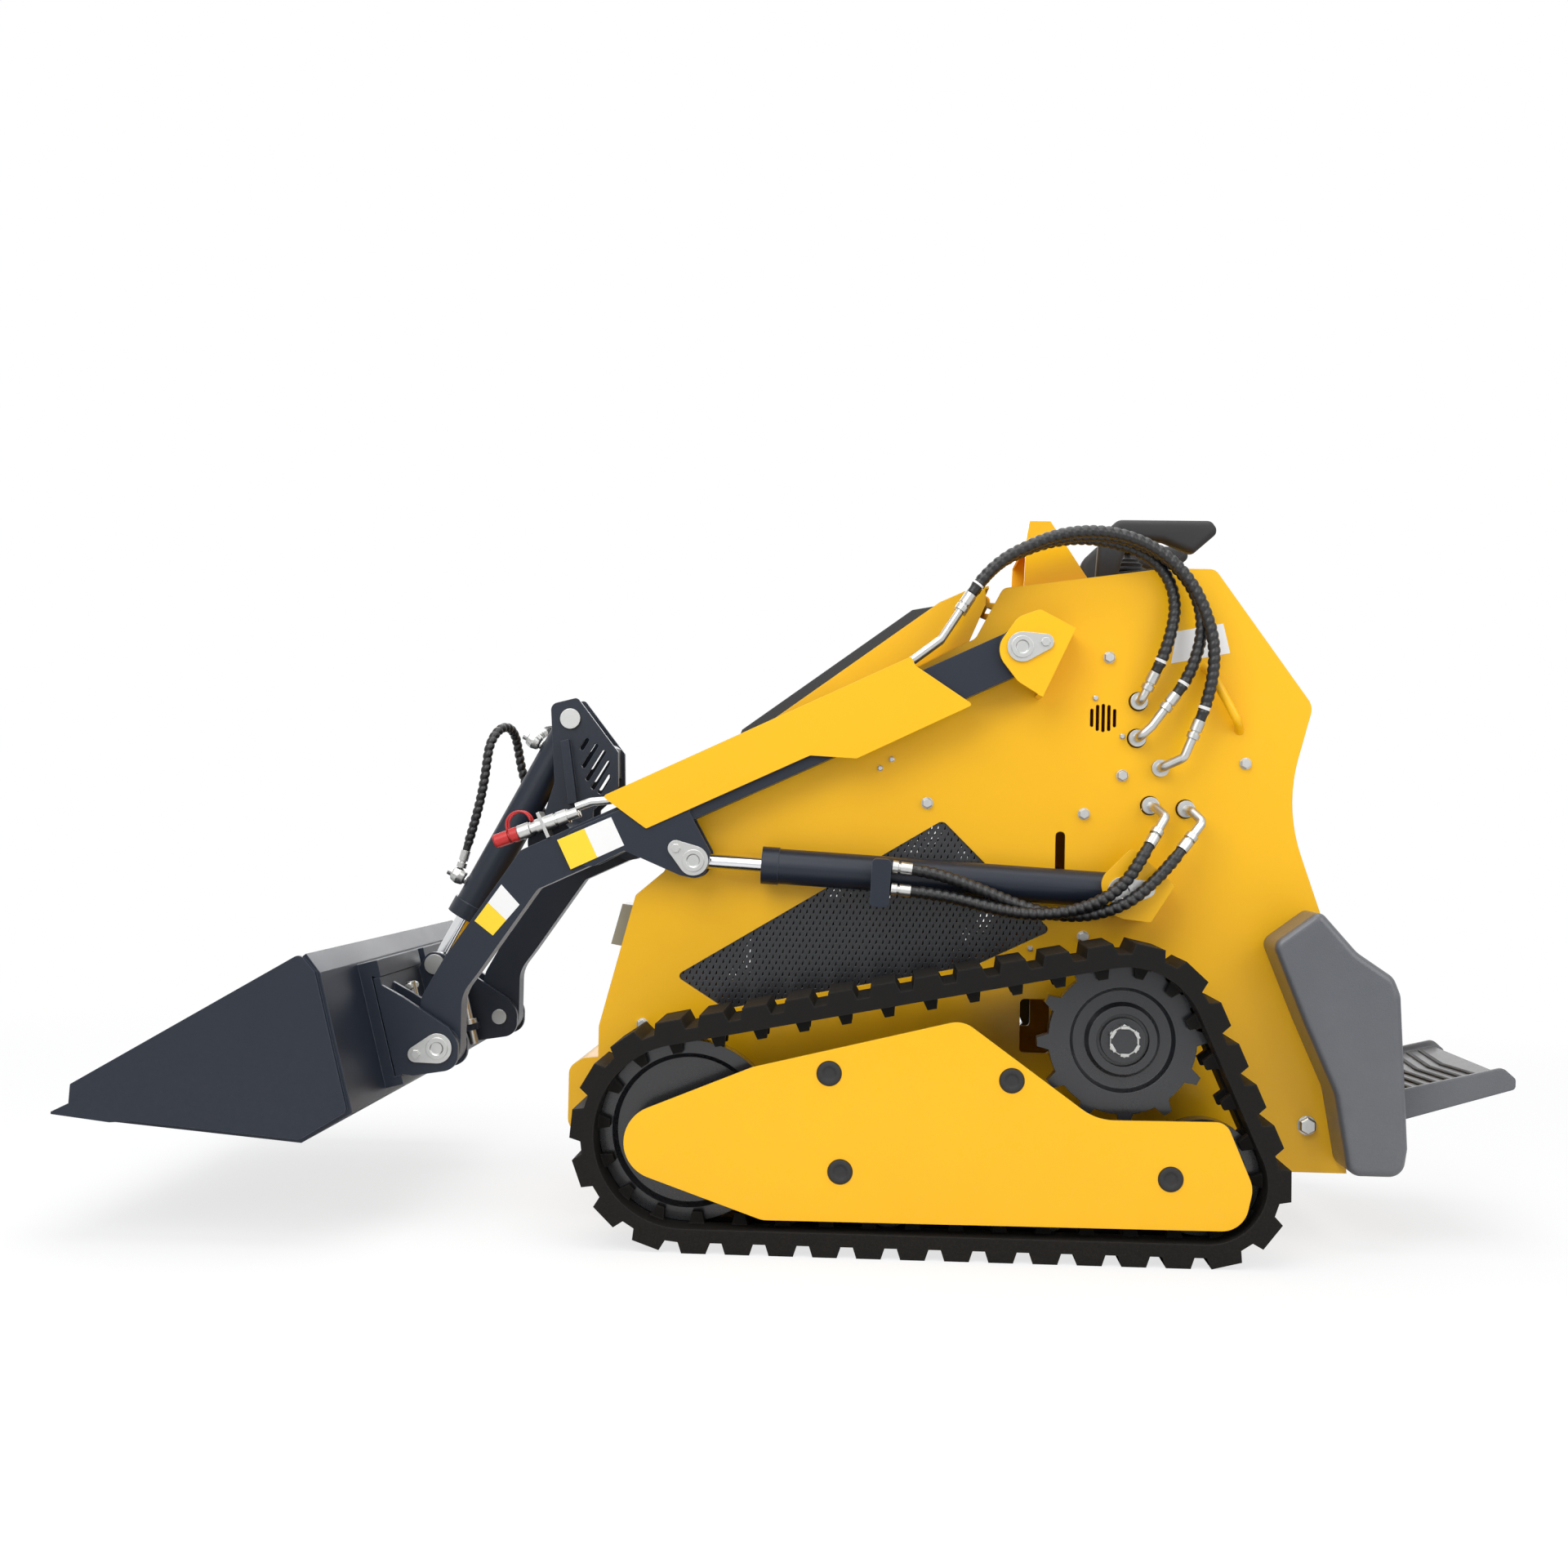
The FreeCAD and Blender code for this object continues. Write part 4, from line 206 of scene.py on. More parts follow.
finishes = {
    "yellowCoat": {
        "colour": (0.87, 0.470, 0.002), "shade": (0.83, 0.425, 0.002), "bare": (0.92, 0.56, 0.03),
        "dirt": (0.62, 0.42, 0.16), "rough": (0.26, 0.36), "grain": 1400.0, "patch": 5.0, "bump": 0.35,
        "depth": 0.0005, "edge": 0.0018, "wear": 0.35, "dust": 0.08, "coat": 0.12, "gloss": 0.32,
    },
    "slateCoat": {
        "colour": (0.014, 0.019, 0.031), "shade": (0.010, 0.014, 0.024), "bare": (0.11, 0.13, 0.17),
        "dirt": (0.09, 0.09, 0.09), "rough": (0.30, 0.42), "grain": 1300.0, "patch": 7.0, "bump": 0.30,
        "depth": 0.0005, "edge": 0.0018, "wear": 0.40, "dust": 0.08, "gloss": 0.32,
    },
    "blackGloss": {
        "colour": (0.014, 0.015, 0.018), "shade": (0.010, 0.011, 0.014), "bare": (0.08, 0.085, 0.09),
        "dirt": (0.10, 0.09, 0.08), "rough": (0.20, 0.32), "grain": 700.0, "patch": 8.0, "bump": 0.12,
        "depth": 0.0004, "edge": 0.0015, "wear": 0.4, "dust": 0.12, "coat": 0.4,
    },
    "castGrey": {
        "colour": (0.105, 0.110, 0.122), "shade": (0.070, 0.075, 0.085), "bare": (0.17, 0.18, 0.19),
        "dirt": (0.20, 0.18, 0.16), "rough": (0.30, 0.44), "grain": 420.0, "patch": 11.0, "bump": 0.45,
        "depth": 0.0008, "edge": 0.006, "wear": 0.3, "dust": 0.22, "coat": 0.3,
    },
    "treadRubber": {
        "colour": (0.005, 0.005, 0.005), "shade": (0.009, 0.008, 0.007), "bare": (0.03, 0.028, 0.026),
        "dirt": (0.08, 0.065, 0.05), "rough": (0.50, 0.66), "grain": 800.0, "patch": 14.0, "bump": 0.45,
        "depth": 0.0008, "edge": 0.004, "wear": 0.4, "dust": 0.10, "gloss": 0.12,
    },
    "softGrip": {
        "colour": (0.005, 0.005, 0.006), "shade": (0.008, 0.008, 0.009), "bare": (0.025, 0.025, 0.026),
        "dirt": (0.08, 0.075, 0.07), "rough": (0.55, 0.68), "grain": 1800.0, "patch": 12.0, "bump": 0.5,
        "depth": 0.0005, "edge": 0.006, "wear": 0.2, "dust": 0.12,
    },
    "polishedRod": {
        "colour": (0.72, 0.73, 0.74), "shade": (0.62, 0.63, 0.65), "bare": (0.8, 0.8, 0.8),
        "dirt": (0.35, 0.33, 0.3), "rough": (0.10, 0.20), "grain": 900.0, "patch": 16.0, "bump": 0.05,
        "depth": 0.0003, "edge": 0.0015, "wear": 0.2, "dust": 0.08, "metal": 1.0,
    },
    "zincPlate": {
        "colour": (0.60, 0.60, 0.58), "shade": (0.44, 0.45, 0.44), "bare": (0.75, 0.74, 0.70),
        "dirt": (0.30, 0.27, 0.22), "rough": (0.26, 0.42), "grain": 500.0, "patch": 40.0, "bump": 0.2,
        "depth": 0.0004, "edge": 0.0012, "wear": 0.3, "dust": 0.12, "metal": 1.0,
    },
    "engineIron": {
        "colour": (0.045, 0.047, 0.050), "shade": (0.080, 0.078, 0.074), "bare": (0.22, 0.21, 0.20),
        "dirt": (0.16, 0.13, 0.10), "rough": (0.45, 0.65), "grain": 300.0, "patch": 18.0, "bump": 0.6,
        "depth": 0.0012, "edge": 0.004, "wear": 0.5, "dust": 0.25, "metal": 0.3,
    },
    "drumSteel": {
        "colour": (0.020, 0.021, 0.023), "shade": (0.034, 0.034, 0.036), "bare": (0.16, 0.16, 0.16),
        "dirt": (0.13, 0.11, 0.09), "rough": (0.30, 0.48), "grain": 420.0, "patch": 10.0, "bump": 0.4,
        "depth": 0.0008, "edge": 0.003, "wear": 0.5, "dust": 0.18,
    },
    "redCap": {
        "colour": (0.52, 0.014, 0.012), "shade": (0.42, 0.010, 0.010), "bare": (0.62, 0.05, 0.04),
        "dirt": (0.25, 0.08, 0.06), "rough": (0.34, 0.46), "grain": 1200.0, "patch": 20.0, "bump": 0.2,
        "depth": 0.0004, "edge": 0.002, "wear": 0.2, "dust": 0.1,
    },
    "hoseRubber": {
        "colour": (0.006, 0.006, 0.007), "shade": (0.009, 0.009, 0.010), "bare": (0.03, 0.03, 0.03),
        "dirt": (0.05, 0.045, 0.04), "rough": (0.30, 0.44), "grain": 1500.0, "patch": 16.0, "bump": 0.3,
        "depth": 0.0004, "edge": 0.0015, "wear": 0.25, "dust": 0.12,
    },
    "blankLabel": {
        "colour": (0.80, 0.80, 0.79), "shade": (0.76, 0.76, 0.74), "bare": (0.7, 0.7, 0.68),
        "dirt": (0.5, 0.46, 0.4), "rough": (0.30, 0.40), "grain": 1800.0, "patch": 14.0, "bump": 0.08,
        "depth": 0.0002, "edge": 0.0006, "wear": 0.1, "dust": 0.08,
    },
    "labelYellow": {
        "colour": (0.88, 0.62, 0.02), "shade": (0.84, 0.58, 0.02), "bare": (0.8, 0.7, 0.3),
        "dirt": (0.5, 0.42, 0.2), "rough": (0.30, 0.40), "grain": 1800.0, "patch": 14.0, "bump": 0.08,
        "depth": 0.0002, "edge": 0.0006, "wear": 0.1, "dust": 0.08,
    },
    "lampLens": {
        "colour": (0.30, 0.27, 0.18), "shade": (0.24, 0.21, 0.14), "bare": (0.5, 0.46, 0.34),
        "dirt": (0.22, 0.18, 0.12), "rough": (0.06, 0.12), "grain": 300.0, "patch": 12.0, "bump": 0.1,
        "depth": 0.0004, "edge": 0.002, "wear": 0.1, "dust": 0.1, "coat": 1.0, "gloss": 0.8,
    },
}
made = {name: makeMaterial(name, values) for name, values in finishes.items()}
print("finishes made:", len(made))

finishOfSlot = {
    "black_paint": "blackGloss", "cast_weight": "castGrey", "chrome_rod": "polishedRod",
    "engine_iron": "engineIron", "handle_foam": "softGrip", "lamp_housing": "lampLens",
    "mesh_steel": "blackGloss", "slate_paint": "slateCoat", "track_rubber": "treadRubber",
    "yellow_paint": "yellowCoat", "zinc_plate": "zincPlate", "zinc_steel": "zincPlate",
    "hose_rubber": "hoseRubber", "red_cap": "redCap",
}
slotOfNode = {row["node"]: row["material_slot"] for row in frame["record"]["subparts"]}
for name, node in frame["nodes"].items():
    node.data.materials.clear()
    node.data.materials.append(made[finishOfSlot[slotOfNode[name]]])

# Camera at the photograph's angle, a long way off on the machine's left
cameraValues = {
    "lens": 46.9, "sensor": 36.0, "place": (-0.1232, 3.870, 0.719),
    "right": (-0.9986, -0.0491, 0.0200), "up": (0.0191, 0.0180, 0.9997), "back": (-0.0495, 0.9986, -0.0170),
}
cameraData = bpy.data.cameras.new("camera")
cameraData.lens = cameraValues["lens"]
cameraData.sensor_width = cameraValues["sensor"]
camera = addObject("camera", cameraData)
axes = Matrix((cameraValues["right"], cameraValues["up"], cameraValues["back"])).transposed()
camera.matrix_world = Matrix.Translation(cameraValues["place"]) @ axes.to_4x4()
bpy.context.scene.camera = camera

# Soft studio lamps: wide panels above, on both sides and behind
lamps = {
    "keyPanel": {"place": (1.6, 4.2, 3.6), "size": 3.2, "power": 135},
    "fillPanel": {"place": (-3.2, 3.6, 2.4), "size": 3.0, "power": 70},
    "topPanel": {"place": (0.0, 0.3, 4.2), "size": 3.6, "power": 105},
    "rearPanel": {"place": (0.6, -4.4, 3.0), "size": 3.4, "power": 95},
}
lampAim = Vector((0, 0, 0.6))
for name, values in lamps.items():
    lamp = bpy.data.lights.new(name, "AREA")
    lamp.energy = values["power"]
    lamp.size = values["size"]
    holder = addObject(name, lamp)
    holder.location = values["place"]
    holder.rotation_mode = "QUATERNION"
    holder.rotation_quaternion = (lampAim - Vector(values["place"])).to_track_quat("-Z", "Y")

# White surroundings for the camera and for reflections, a dimmer sky for the light itself
world = bpy.data.worlds.new("studio")
bpy.context.scene.world = world
world.use_nodes = True
tree = world.node_tree
tree.nodes.clear()
rays = addNode(tree, "LightPath")
seen = addNode(tree, "Math", {0: rays.outputs["Is Camera Ray"], 1: rays.outputs["Is Glossy Ray"]},
               operation="MAXIMUM")
shown = addNode(tree, "Math", {0: seen.outputs[0], 1: rays.outputs["Is Transmission Ray"]},
                operation="MAXIMUM")
skyLight = addNode(tree, "Background", {"Color": (0.93, 0.95, 1.0, 1), "Strength": 0.42})
skyWhite = addNode(tree, "Background", {"Color": (1, 1, 1, 1), "Strength": 1.0})
skyMix = addNode(tree, "MixShader", {0: shown.outputs[0], 1: skyLight.outputs[0], 2: skyWhite.outputs[0]})
skyOut = tree.nodes.new("ShaderNodeOutputWorld")
tree.links.new(skyMix.outputs[0], skyOut.inputs[0])

# Pale floor that keeps the machine's shadow
floorMesh = bmesh.new()
bmesh.ops.create_grid(floorMesh, x_segments=1, y_segments=1, size=30)
floorData = bpy.data.meshes.new("floor")
floorMesh.to_mesh(floorData)
floorMesh.free()
floor = addObject("floor", floorData)
paleFloor = bpy.data.materials.new("paleFloor")
paleFloor.use_nodes = True
tree = paleFloor.node_tree
tree.nodes.clear()
rays = addNode(tree, "LightPath")
reach = addNode(tree, "VectorMath", {0: addNode(tree, "TexCoord").outputs["Object"]}, operation="LENGTH")
clear = addNode(tree, "MapRange", {"Value": reach.outputs["Value"], "From Min": 1.6, "From Max": 4.2,
                                   "To Min": 0.74, "To Max": 1.0})
matt = addNode(tree, "BsdfDiffuse", {"Color": (0.86, 0.86, 0.86, 1)})
glow = addNode(tree, "Emission", {"Color": (1, 1, 1, 1), "Strength": 1.0})
share = addNode(tree, "Math", {0: rays.outputs["Is Camera Ray"], 1: clear.outputs[0]}, operation="MULTIPLY")
floorMix = addNode(tree, "MixShader", {0: share.outputs[0], 1: matt.outputs[0], 2: glow.outputs[0]})
floorOut = tree.nodes.new("ShaderNodeOutputMaterial")
tree.links.new(floorMix.outputs[0], floorOut.inputs[0])
floorData.materials.append(paleFloor)

bpy.context.scene.view_settings.view_transform = "Standard"

# Corners nearer than this, in metres, become one
sameSpot = 0.00002
# Where faceOf starts, beyond the machine's side
outside = 1.0


def keepPiece(name, shape, finish, body, smooth=False):
    # Turns a bmesh into a finished object riding on one of the bodies
    bmesh.ops.remove_doubles(shape, verts=shape.verts, dist=sameSpot)
    bmesh.ops.recalc_face_normals(shape, faces=shape.faces)
    data = bpy.data.meshes.new(name)
    shape.to_mesh(data)
    shape.free()
    for face in data.polygons:
        face.use_smooth = smooth
    data.materials.append(made[finish])
    piece = addObject(name, data)
    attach(piece, body)
    return piece


def roundEdges(shape, edges, radius, segments):
    bmesh.ops.bevel(shape, geom=edges, offset=radius * mm, offset_type="OFFSET", segments=segments,
                    profile=0.5, affect="EDGES", clamp_overlap=True, material=-1)


def faceOf(node, x, z, side):
    # Outer face of a node at x, z, in metres, met from the machine's left (1) or right (-1)
    met, place = frame["nodes"][node].ray_cast((x, side * outside, z), (0, -side, 0))[:2]
    return place.y if met else None


def readLine(curve):
    # The curve's mesh: points along it, or a tube once it has a thickness
    holder = addObject("route", curve)
    bpy.context.view_layer.update()
    line = bpy.data.meshes.new_from_object(holder)
    bpy.data.objects.remove(holder)
    return line


def routeCurve(route, steps):
    curve = bpy.data.curves.new("route", "CURVE")
    curve.dimensions = "3D"
    spline = curve.splines.new("NURBS")
    spline.points.add(len(route) - 1)
    for point, place in zip(spline.points, route):
        point.co = (place[0] * mm, place[1] * mm, place[2] * mm, 1)
    spline.order_u = 3
    spline.use_endpoint_u = True
    curve.resolution_u = steps
    return curve


# Hydraulic hoses in a spiral wrap, with a band of white tape near both ends of the three pivot hoses.
# The tube is thinner than the hose by inset, and the wrap stands out where its wave is above level.
hoseValues = {
    "steps": 30, "sides": 5, "turn": 13.5, "groove": 3.2, "plain": 9.0, "ramp": 7.0, "tape": (19.0, 24.0),
    "inset": 0.6, "level": 0.45,
}
hoses = {
    "pivotHoseA": {
        "node": "pivot_hoses", "bodies": ("chassis", "arms"), "radius": 10, "length": 578.2, "tape": True,
        "route": [(-590.7, 281.2, 988.0), (-603.1, 285.3, 1014.2), (-617, 286, 1060), (-624, 281, 1106),
                  (-614, 275, 1150), (-588, 269, 1185), (-549, 264, 1207), (-504, 262, 1219),
                  (-456, 262, 1223), (-408, 262, 1217), (-360, 262, 1201), (-300, 262, 1168.9),
                  (-266.7, 262, 1117.1)],
    },
    "pivotHoseB": {
        "node": "pivot_hoses", "bodies": ("chassis", "arms"), "radius": 10, "length": 650.3, "tape": True,
        "route": [(-626.3, 289.3, 950.0), (-643.5, 290.1, 973.8), (-662, 290, 1022), (-670, 289, 1067),
                  (-662, 288, 1114), (-637, 286, 1158), (-597, 285, 1194), (-546, 285, 1217),
                  (-490, 285, 1226), (-434, 285, 1223), (-378, 285, 1208), (-300, 285, 1168.9),
                  (-266.7, 285, 1117.1)],
    },
    "pivotHoseC": {
        "node": "pivot_hoses", "bodies": ("chassis", "arms"), "radius": 10, "length": 696.7, "tape": True,
        "route": [(-665.7, 301.2, 904.1), (-676.4, 302.9, 931.5), (-688, 307, 990), (-687, 309, 1042),
                  (-671, 309, 1096), (-645, 308, 1146), (-606, 308, 1187), (-560, 308, 1214),
                  (-505, 308, 1229), (-445, 308, 1229), (-386, 308, 1214), (-300, 308, 1168.9),
                  (-266.7, 308, 1117.1)],
    },
    "liftHoseD": {
        "node": "lift_hoses_left", "bodies": ("chassis", "lift_barrel_left"), "radius": 10, "length": 518.9,
        "route": [(-633.4, 330.4, 678.7), (-616, 338.2, 656.4), (-583, 352, 622), (-546, 358, 590),
                  (-500, 355, 569), (-450, 343, 561), (-398, 334, 566), (-346, 333, 582), (-294, 333, 603),
                  (-240, 333, 622), (-196, 333, 633), (-172.7, 333, 635.8)],
    },
    "liftHoseE": {
        "node": "lift_hoses_left", "bodies": ("chassis", "lift_barrel_left"), "radius": 10, "length": 463.1,
        "route": [(-576.6, 344.6, 685.7), (-562.6, 357.7, 663.4), (-537, 356, 622), (-500, 360, 592),
                  (-454, 360, 573), (-404, 358, 564), (-352, 349, 565), (-300, 338, 575), (-248, 333, 588),
                  (-198, 333, 596), (-170.9, 333, 598.2)],
    },
    "tiltHoseFront": {
        "node": "tilt_hoses", "bodies": ("tilt_barrel", "arms"), "radius": 8, "length": 499.8,
        "route": [(673.3, 1.3, 647.0), (668, 2, 666), (653, 8, 716), (642, 12, 764), (636, 14, 806),
                  (631.8, 13.9, 844.6), (623.4, -0.1, 869.8), (613, -24.3, 884.4), (603.6, -52.3, 884.4),
                  (597.6, -76.5, 869.8), (594, -90.5, 844.6), (589, -93, 814), (580, -95, 779),
                  (566, -96, 739.4), (530, -96, 713.3)],
    },
    "tiltHoseRear": {
        "node": "tilt_hoses", "bodies": ("tilt_barrel", "arms"), "radius": 8, "length": 220.4,
        "route": [(537.4, -46.8, 875.2), (531, -78, 884), (527.4, -101.4, 880.2), (523.8, -121.2, 867.1),
                  (519, -138, 840.3), (521.5, -139, 803), (521.5, -136, 765), (505.4, -133, 734.9)],
    },
}
for left, right in (("liftHoseD", "liftHoseF"), ("liftHoseE", "liftHoseG")):
    hoses[right] = dict(hoses[left], node="lift_hoses_right", bodies=("chassis", "lift_barrel_right"),
                        route=[(x, -y, z) for x, y, z in hoses[left]["route"]])


def wrappedHose(name, values):
    # A tube along the route that swells and narrows in a spiral, plain at both ends
    curve = routeCurve(values["route"], hoseValues["steps"])
    line = readLine(curve)
    path = [point.co.copy() for point in line.vertices]
    curve.bevel_depth = (values["radius"] - hoseValues["inset"]) * mm
    curve.bevel_resolution = hoseValues["sides"]
    tube = readLine(curve)
    sides = len(tube.vertices) // len(path)
    along = [0.0]
    for before, after in zip(path, path[1:]):
        along.append(along[-1] + (after - before).length / mm)
    shape = bmesh.new()
    shape.from_mesh(tube)
    shape.verts.ensure_lookup_table()
    for point in shape.verts:
        ring, corner = divmod(point.index, sides)
        end = min(along[ring], along[-1] - along[ring]) - hoseValues["plain"]
        share = min(1.0, max(0.0, end / hoseValues["ramp"]))
        wave = math.sqrt(abs(math.sin(math.pi * (along[ring] / hoseValues["turn"] - corner / sides))))
        outward = (point.co - path[ring]).normalized()
        point.co += outward * share * (wave - hoseValues["level"]) * hoseValues["groove"] * mm
    low, high = hoseValues["tape"]
    for face in shape.faces:
        ring = min(corner.index for corner in face.verts) // sides
        end = min(along[ring], along[-1] - along[ring])
        face.material_index = 1 if values.get("tape") and low < end < high else 0
    bmesh.ops.holes_fill(shape, edges=[edge for edge in shape.edges if edge.is_boundary], sides=0)
    bmesh.ops.recalc_face_normals(shape, faces=shape.faces)
    data = bpy.data.meshes.new(name)
    shape.to_mesh(data)
    shape.free()
    for face in data.polygons:
        face.use_smooth = True
    data.materials.append(made["hoseRubber"])
    data.materials.append(made["blankLabel"])
    hose = addObject(name, data)
    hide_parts(values["node"])
    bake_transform(hose)
    return round(along[-1], 1)


for name, values in hoses.items():
    print("hose", name, wrappedHose(name, values), "mm along its line")

# Perforated sheet behind the side windows
sheetValues = {
    "pitch": 11.8, "hole": 4.0, "thick": 1.5,
    "outline": [(275, 432), (-226, 740), (-450, 528), (-292, 450), (160, 362)],
}
cellValues = {"inset": 1.0, "joint": 0.0001}


def perforatedSheet(values):
    # Flat sheet in x, z at y 0: one holed cell repeated in staggered rows, then cut to the outline
    outline, pitch = values["outline"], values["pitch"]
    cell = bmesh.new()
    bmesh.ops.create_circle(cell, cap_ends=True, segments=6, radius=pitch / math.sqrt(3) * mm)
    bmesh.ops.subdivide_edges(cell, edges=cell.edges[:], cuts=1)
    cell.faces.ensure_lookup_table()
    bmesh.ops.inset_individual(cell, faces=cell.faces[:], thickness=cellValues["inset"] * mm)
    cell.faces.ensure_lookup_table()
    middle = min(cell.faces, key=lambda face: sum(corner.co.length for corner in face.verts))
    for corner in middle.verts:
        corner.co = corner.co.normalized() * values["hole"] * mm
    bmesh.ops.delete(cell, geom=[middle], context="FACES_ONLY")
    cellData = bpy.data.meshes.new("cell")
    bmesh.ops.rotate(cell, verts=cell.verts, matrix=Matrix.Rotation(math.radians(90), 3, "X"))
    cell.to_mesh(cellData)
    cell.free()
    shape = bmesh.new()
    xs = [x for x, z in outline]
    zs = [z for x, z in outline]
    middleX, middleZ = sum(xs) / len(xs), sum(zs) / len(zs)
    walls = []
    for (x1, z1), (x2, z2) in zip(outline, outline[1:] + outline[:1]):
        length = math.hypot(x2 - x1, z2 - z1)
        across = ((z2 - z1) / length, -(x2 - x1) / length)
        if (middleX - x1) * across[0] + (middleZ - z1) * across[1] > 0:
            across = (-across[0], -across[1])
        walls.append(((x1, z1), across))
    rise = pitch * math.sqrt(3) / 2
    for row in range(int((max(zs) - min(zs)) / rise) + 2):
        for column in range(int((max(xs) - min(xs)) / pitch) + 2):
            x = min(xs) + (column + 0.5 * (row % 2)) * pitch
            z = min(zs) + row * rise
            if all((x - a) * nx + (z - c) * nz < pitch for (a, c), (nx, nz) in walls):
                before = len(shape.verts)
                shape.from_mesh(cellData)
                shape.verts.ensure_lookup_table()
                bmesh.ops.translate(shape, verts=shape.verts[before:], vec=(x * mm, 0, z * mm))
    bmesh.ops.remove_doubles(shape, verts=shape.verts, dist=cellValues["joint"])
    for (x, z), (nx, nz) in walls:
        bmesh.ops.bisect_plane(shape, geom=shape.verts[:] + shape.edges[:] + shape.faces[:],
                               plane_co=(x * mm, 0, z * mm), plane_no=(nx, 0, nz), clear_outer=True)
    bmesh.ops.recalc_face_normals(shape, faces=shape.faces)
    bmesh.ops.solidify(shape, geom=shape.faces[:], thickness=values["thick"] * mm)
    return shape


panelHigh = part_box("mesh_panels")[1]
for end, side in bothSides:
    shape = perforatedSheet(sheetValues)
    shift = side * (panelHigh.y - sheetValues["thick"] * mm)
    bmesh.ops.translate(shape, verts=shape.verts, vec=(0, shift, 0))
    panel = keepPiece("meshSheet" + end, shape, "blackGloss", "chassis")
    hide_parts("mesh_panels")

# The same sheet over the air grille on the hood's slope
grilleValues = {
    "pitch": 14.0, "hole": 5.0, "thick": 1.2, "start": (-165.9, 0, 1099.6), "end": (136.9, 0, 878.4),
    "outline": [(12, -178), (363, -178), (363, 178), (12, 178)], "lift": 0.2,
}
shape = perforatedSheet(grilleValues)
downSlope = (Vector(grilleValues["end"]) - Vector(grilleValues["start"])).normalized()
squareUp = Vector((-downSlope.z, 0, downSlope.x))
lay = Matrix((downSlope, squareUp, Vector((0, 1, 0)))).transposed()
bmesh.ops.rotate(shape, verts=shape.verts, matrix=lay)
seat = (Vector(grilleValues["start"]) + squareUp * grilleValues["lift"]) * mm
bmesh.ops.translate(shape, verts=shape.verts, vec=seat)
keepPiece("grilleSheet", shape, "blackGloss", "hood")
print("perforated sheets made")

# Chevron ridges on the step's tread
ridgeValues = {
    "count": 8, "pitch": 23.0, "first": 16.0, "half": 206.0, "sweep": 14.0, "wide": 7.0, "high": 4.0,
    "sink": 0.2, "round": 1.2, "segments": 2, "front": (-995.0, 0.0, 244.0), "rear": (-1213.0, 0.0, 296.0),
}
back = (Vector(ridgeValues["rear"]) - Vector(ridgeValues["front"])).normalized()
rise = Vector((back.z, 0, -back.x))
tread = Matrix((back, Vector((0, 1, 0)), rise)).transposed().to_4x4()
shape = bmesh.new()
for row in range(ridgeValues["count"]):
    for side in (1, -1):
        spot = Vector(ridgeValues["front"]) + back * (ridgeValues["first"] + row * ridgeValues["pitch"])
        lifted = rise * (ridgeValues["high"] / 2 - ridgeValues["sink"])
        spot += lifted + Vector((0, side * ridgeValues["half"] / 2, 0))
        spot += back * ridgeValues["sweep"] / 2
        turn = Matrix.Rotation(-side * math.atan2(ridgeValues["sweep"], ridgeValues["half"]), 4, "Z")
        size = Matrix.Diagonal((ridgeValues["wide"] * mm, ridgeValues["half"] * mm,
                                ridgeValues["high"] * mm, 1))
        bmesh.ops.create_cube(shape, size=1.0, matrix=Matrix.Translation(spot * mm) @ tread @ turn @ size)
roundEdges(shape, shape.edges[:], ridgeValues["round"], ridgeValues["segments"])
keepPiece("stepRidges", shape, "softGrip", "step")
print("step ridges made")

# Foam of the grab bars: the CAD shape with its edges rounded, where they turn by more than turn degrees
foamValues = {"round": 11.0, "segments": 5, "flat": 3, "turn": 50}
shape = bmesh.new()
shape.from_mesh(frame["nodes"]["grab_bars"].data)
bmesh.ops.remove_doubles(shape, verts=shape.verts, dist=sameSpot)
bmesh.ops.dissolve_limit(shape, angle_limit=math.radians(foamValues["flat"]), verts=shape.verts,
                         edges=shape.edges)
rims = [edge for edge in shape.edges
        if len(edge.link_faces) == 2 and edge.calc_face_angle(0.0) > math.radians(foamValues["turn"])]
roundEdges(shape, rims, foamValues["round"], foamValues["segments"])
foam = keepPiece("grabBarFoam", shape, "softGrip", "chassis", smooth=True)
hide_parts("grab_bars")
print("grab bar foam made")

# Bolts: a hexagon head with a chamfered top on a washer. The radii are shares of the width across flats,
# and straight is the share of the head's height below its chamfer.
hexCorner = 0.577
boltValues = {"washer": 1.6, "washerRadius": 0.62, "topRadius": 0.48, "straight": 0.8, "nearest": 0.2}


def boltHead(shape, place, side, across, height):
    turn = Matrix.Rotation(math.radians(-90 * side), 4, "X")
    washer, washerRadius = boltValues["washer"], across * boltValues["washerRadius"]
    straight, corner = height * boltValues["straight"], across * hexCorner
    stack = (
        (0.0, washer, washerRadius, washerRadius, 24),
        (washer, straight, corner, corner, 6),
        (washer + straight, height - straight, corner, across * boltValues["topRadius"], 6),
    )
    for start, depth, low, high, corners in stack:
        middle = Vector((0, side * (start + depth / 2) * mm, 0)) + Vector(place)
        bmesh.ops.create_cone(shape, cap_ends=True, segments=corners, radius1=low * mm, radius2=high * mm,
                              depth=depth * mm, matrix=Matrix.Translation(middle) @ turn)


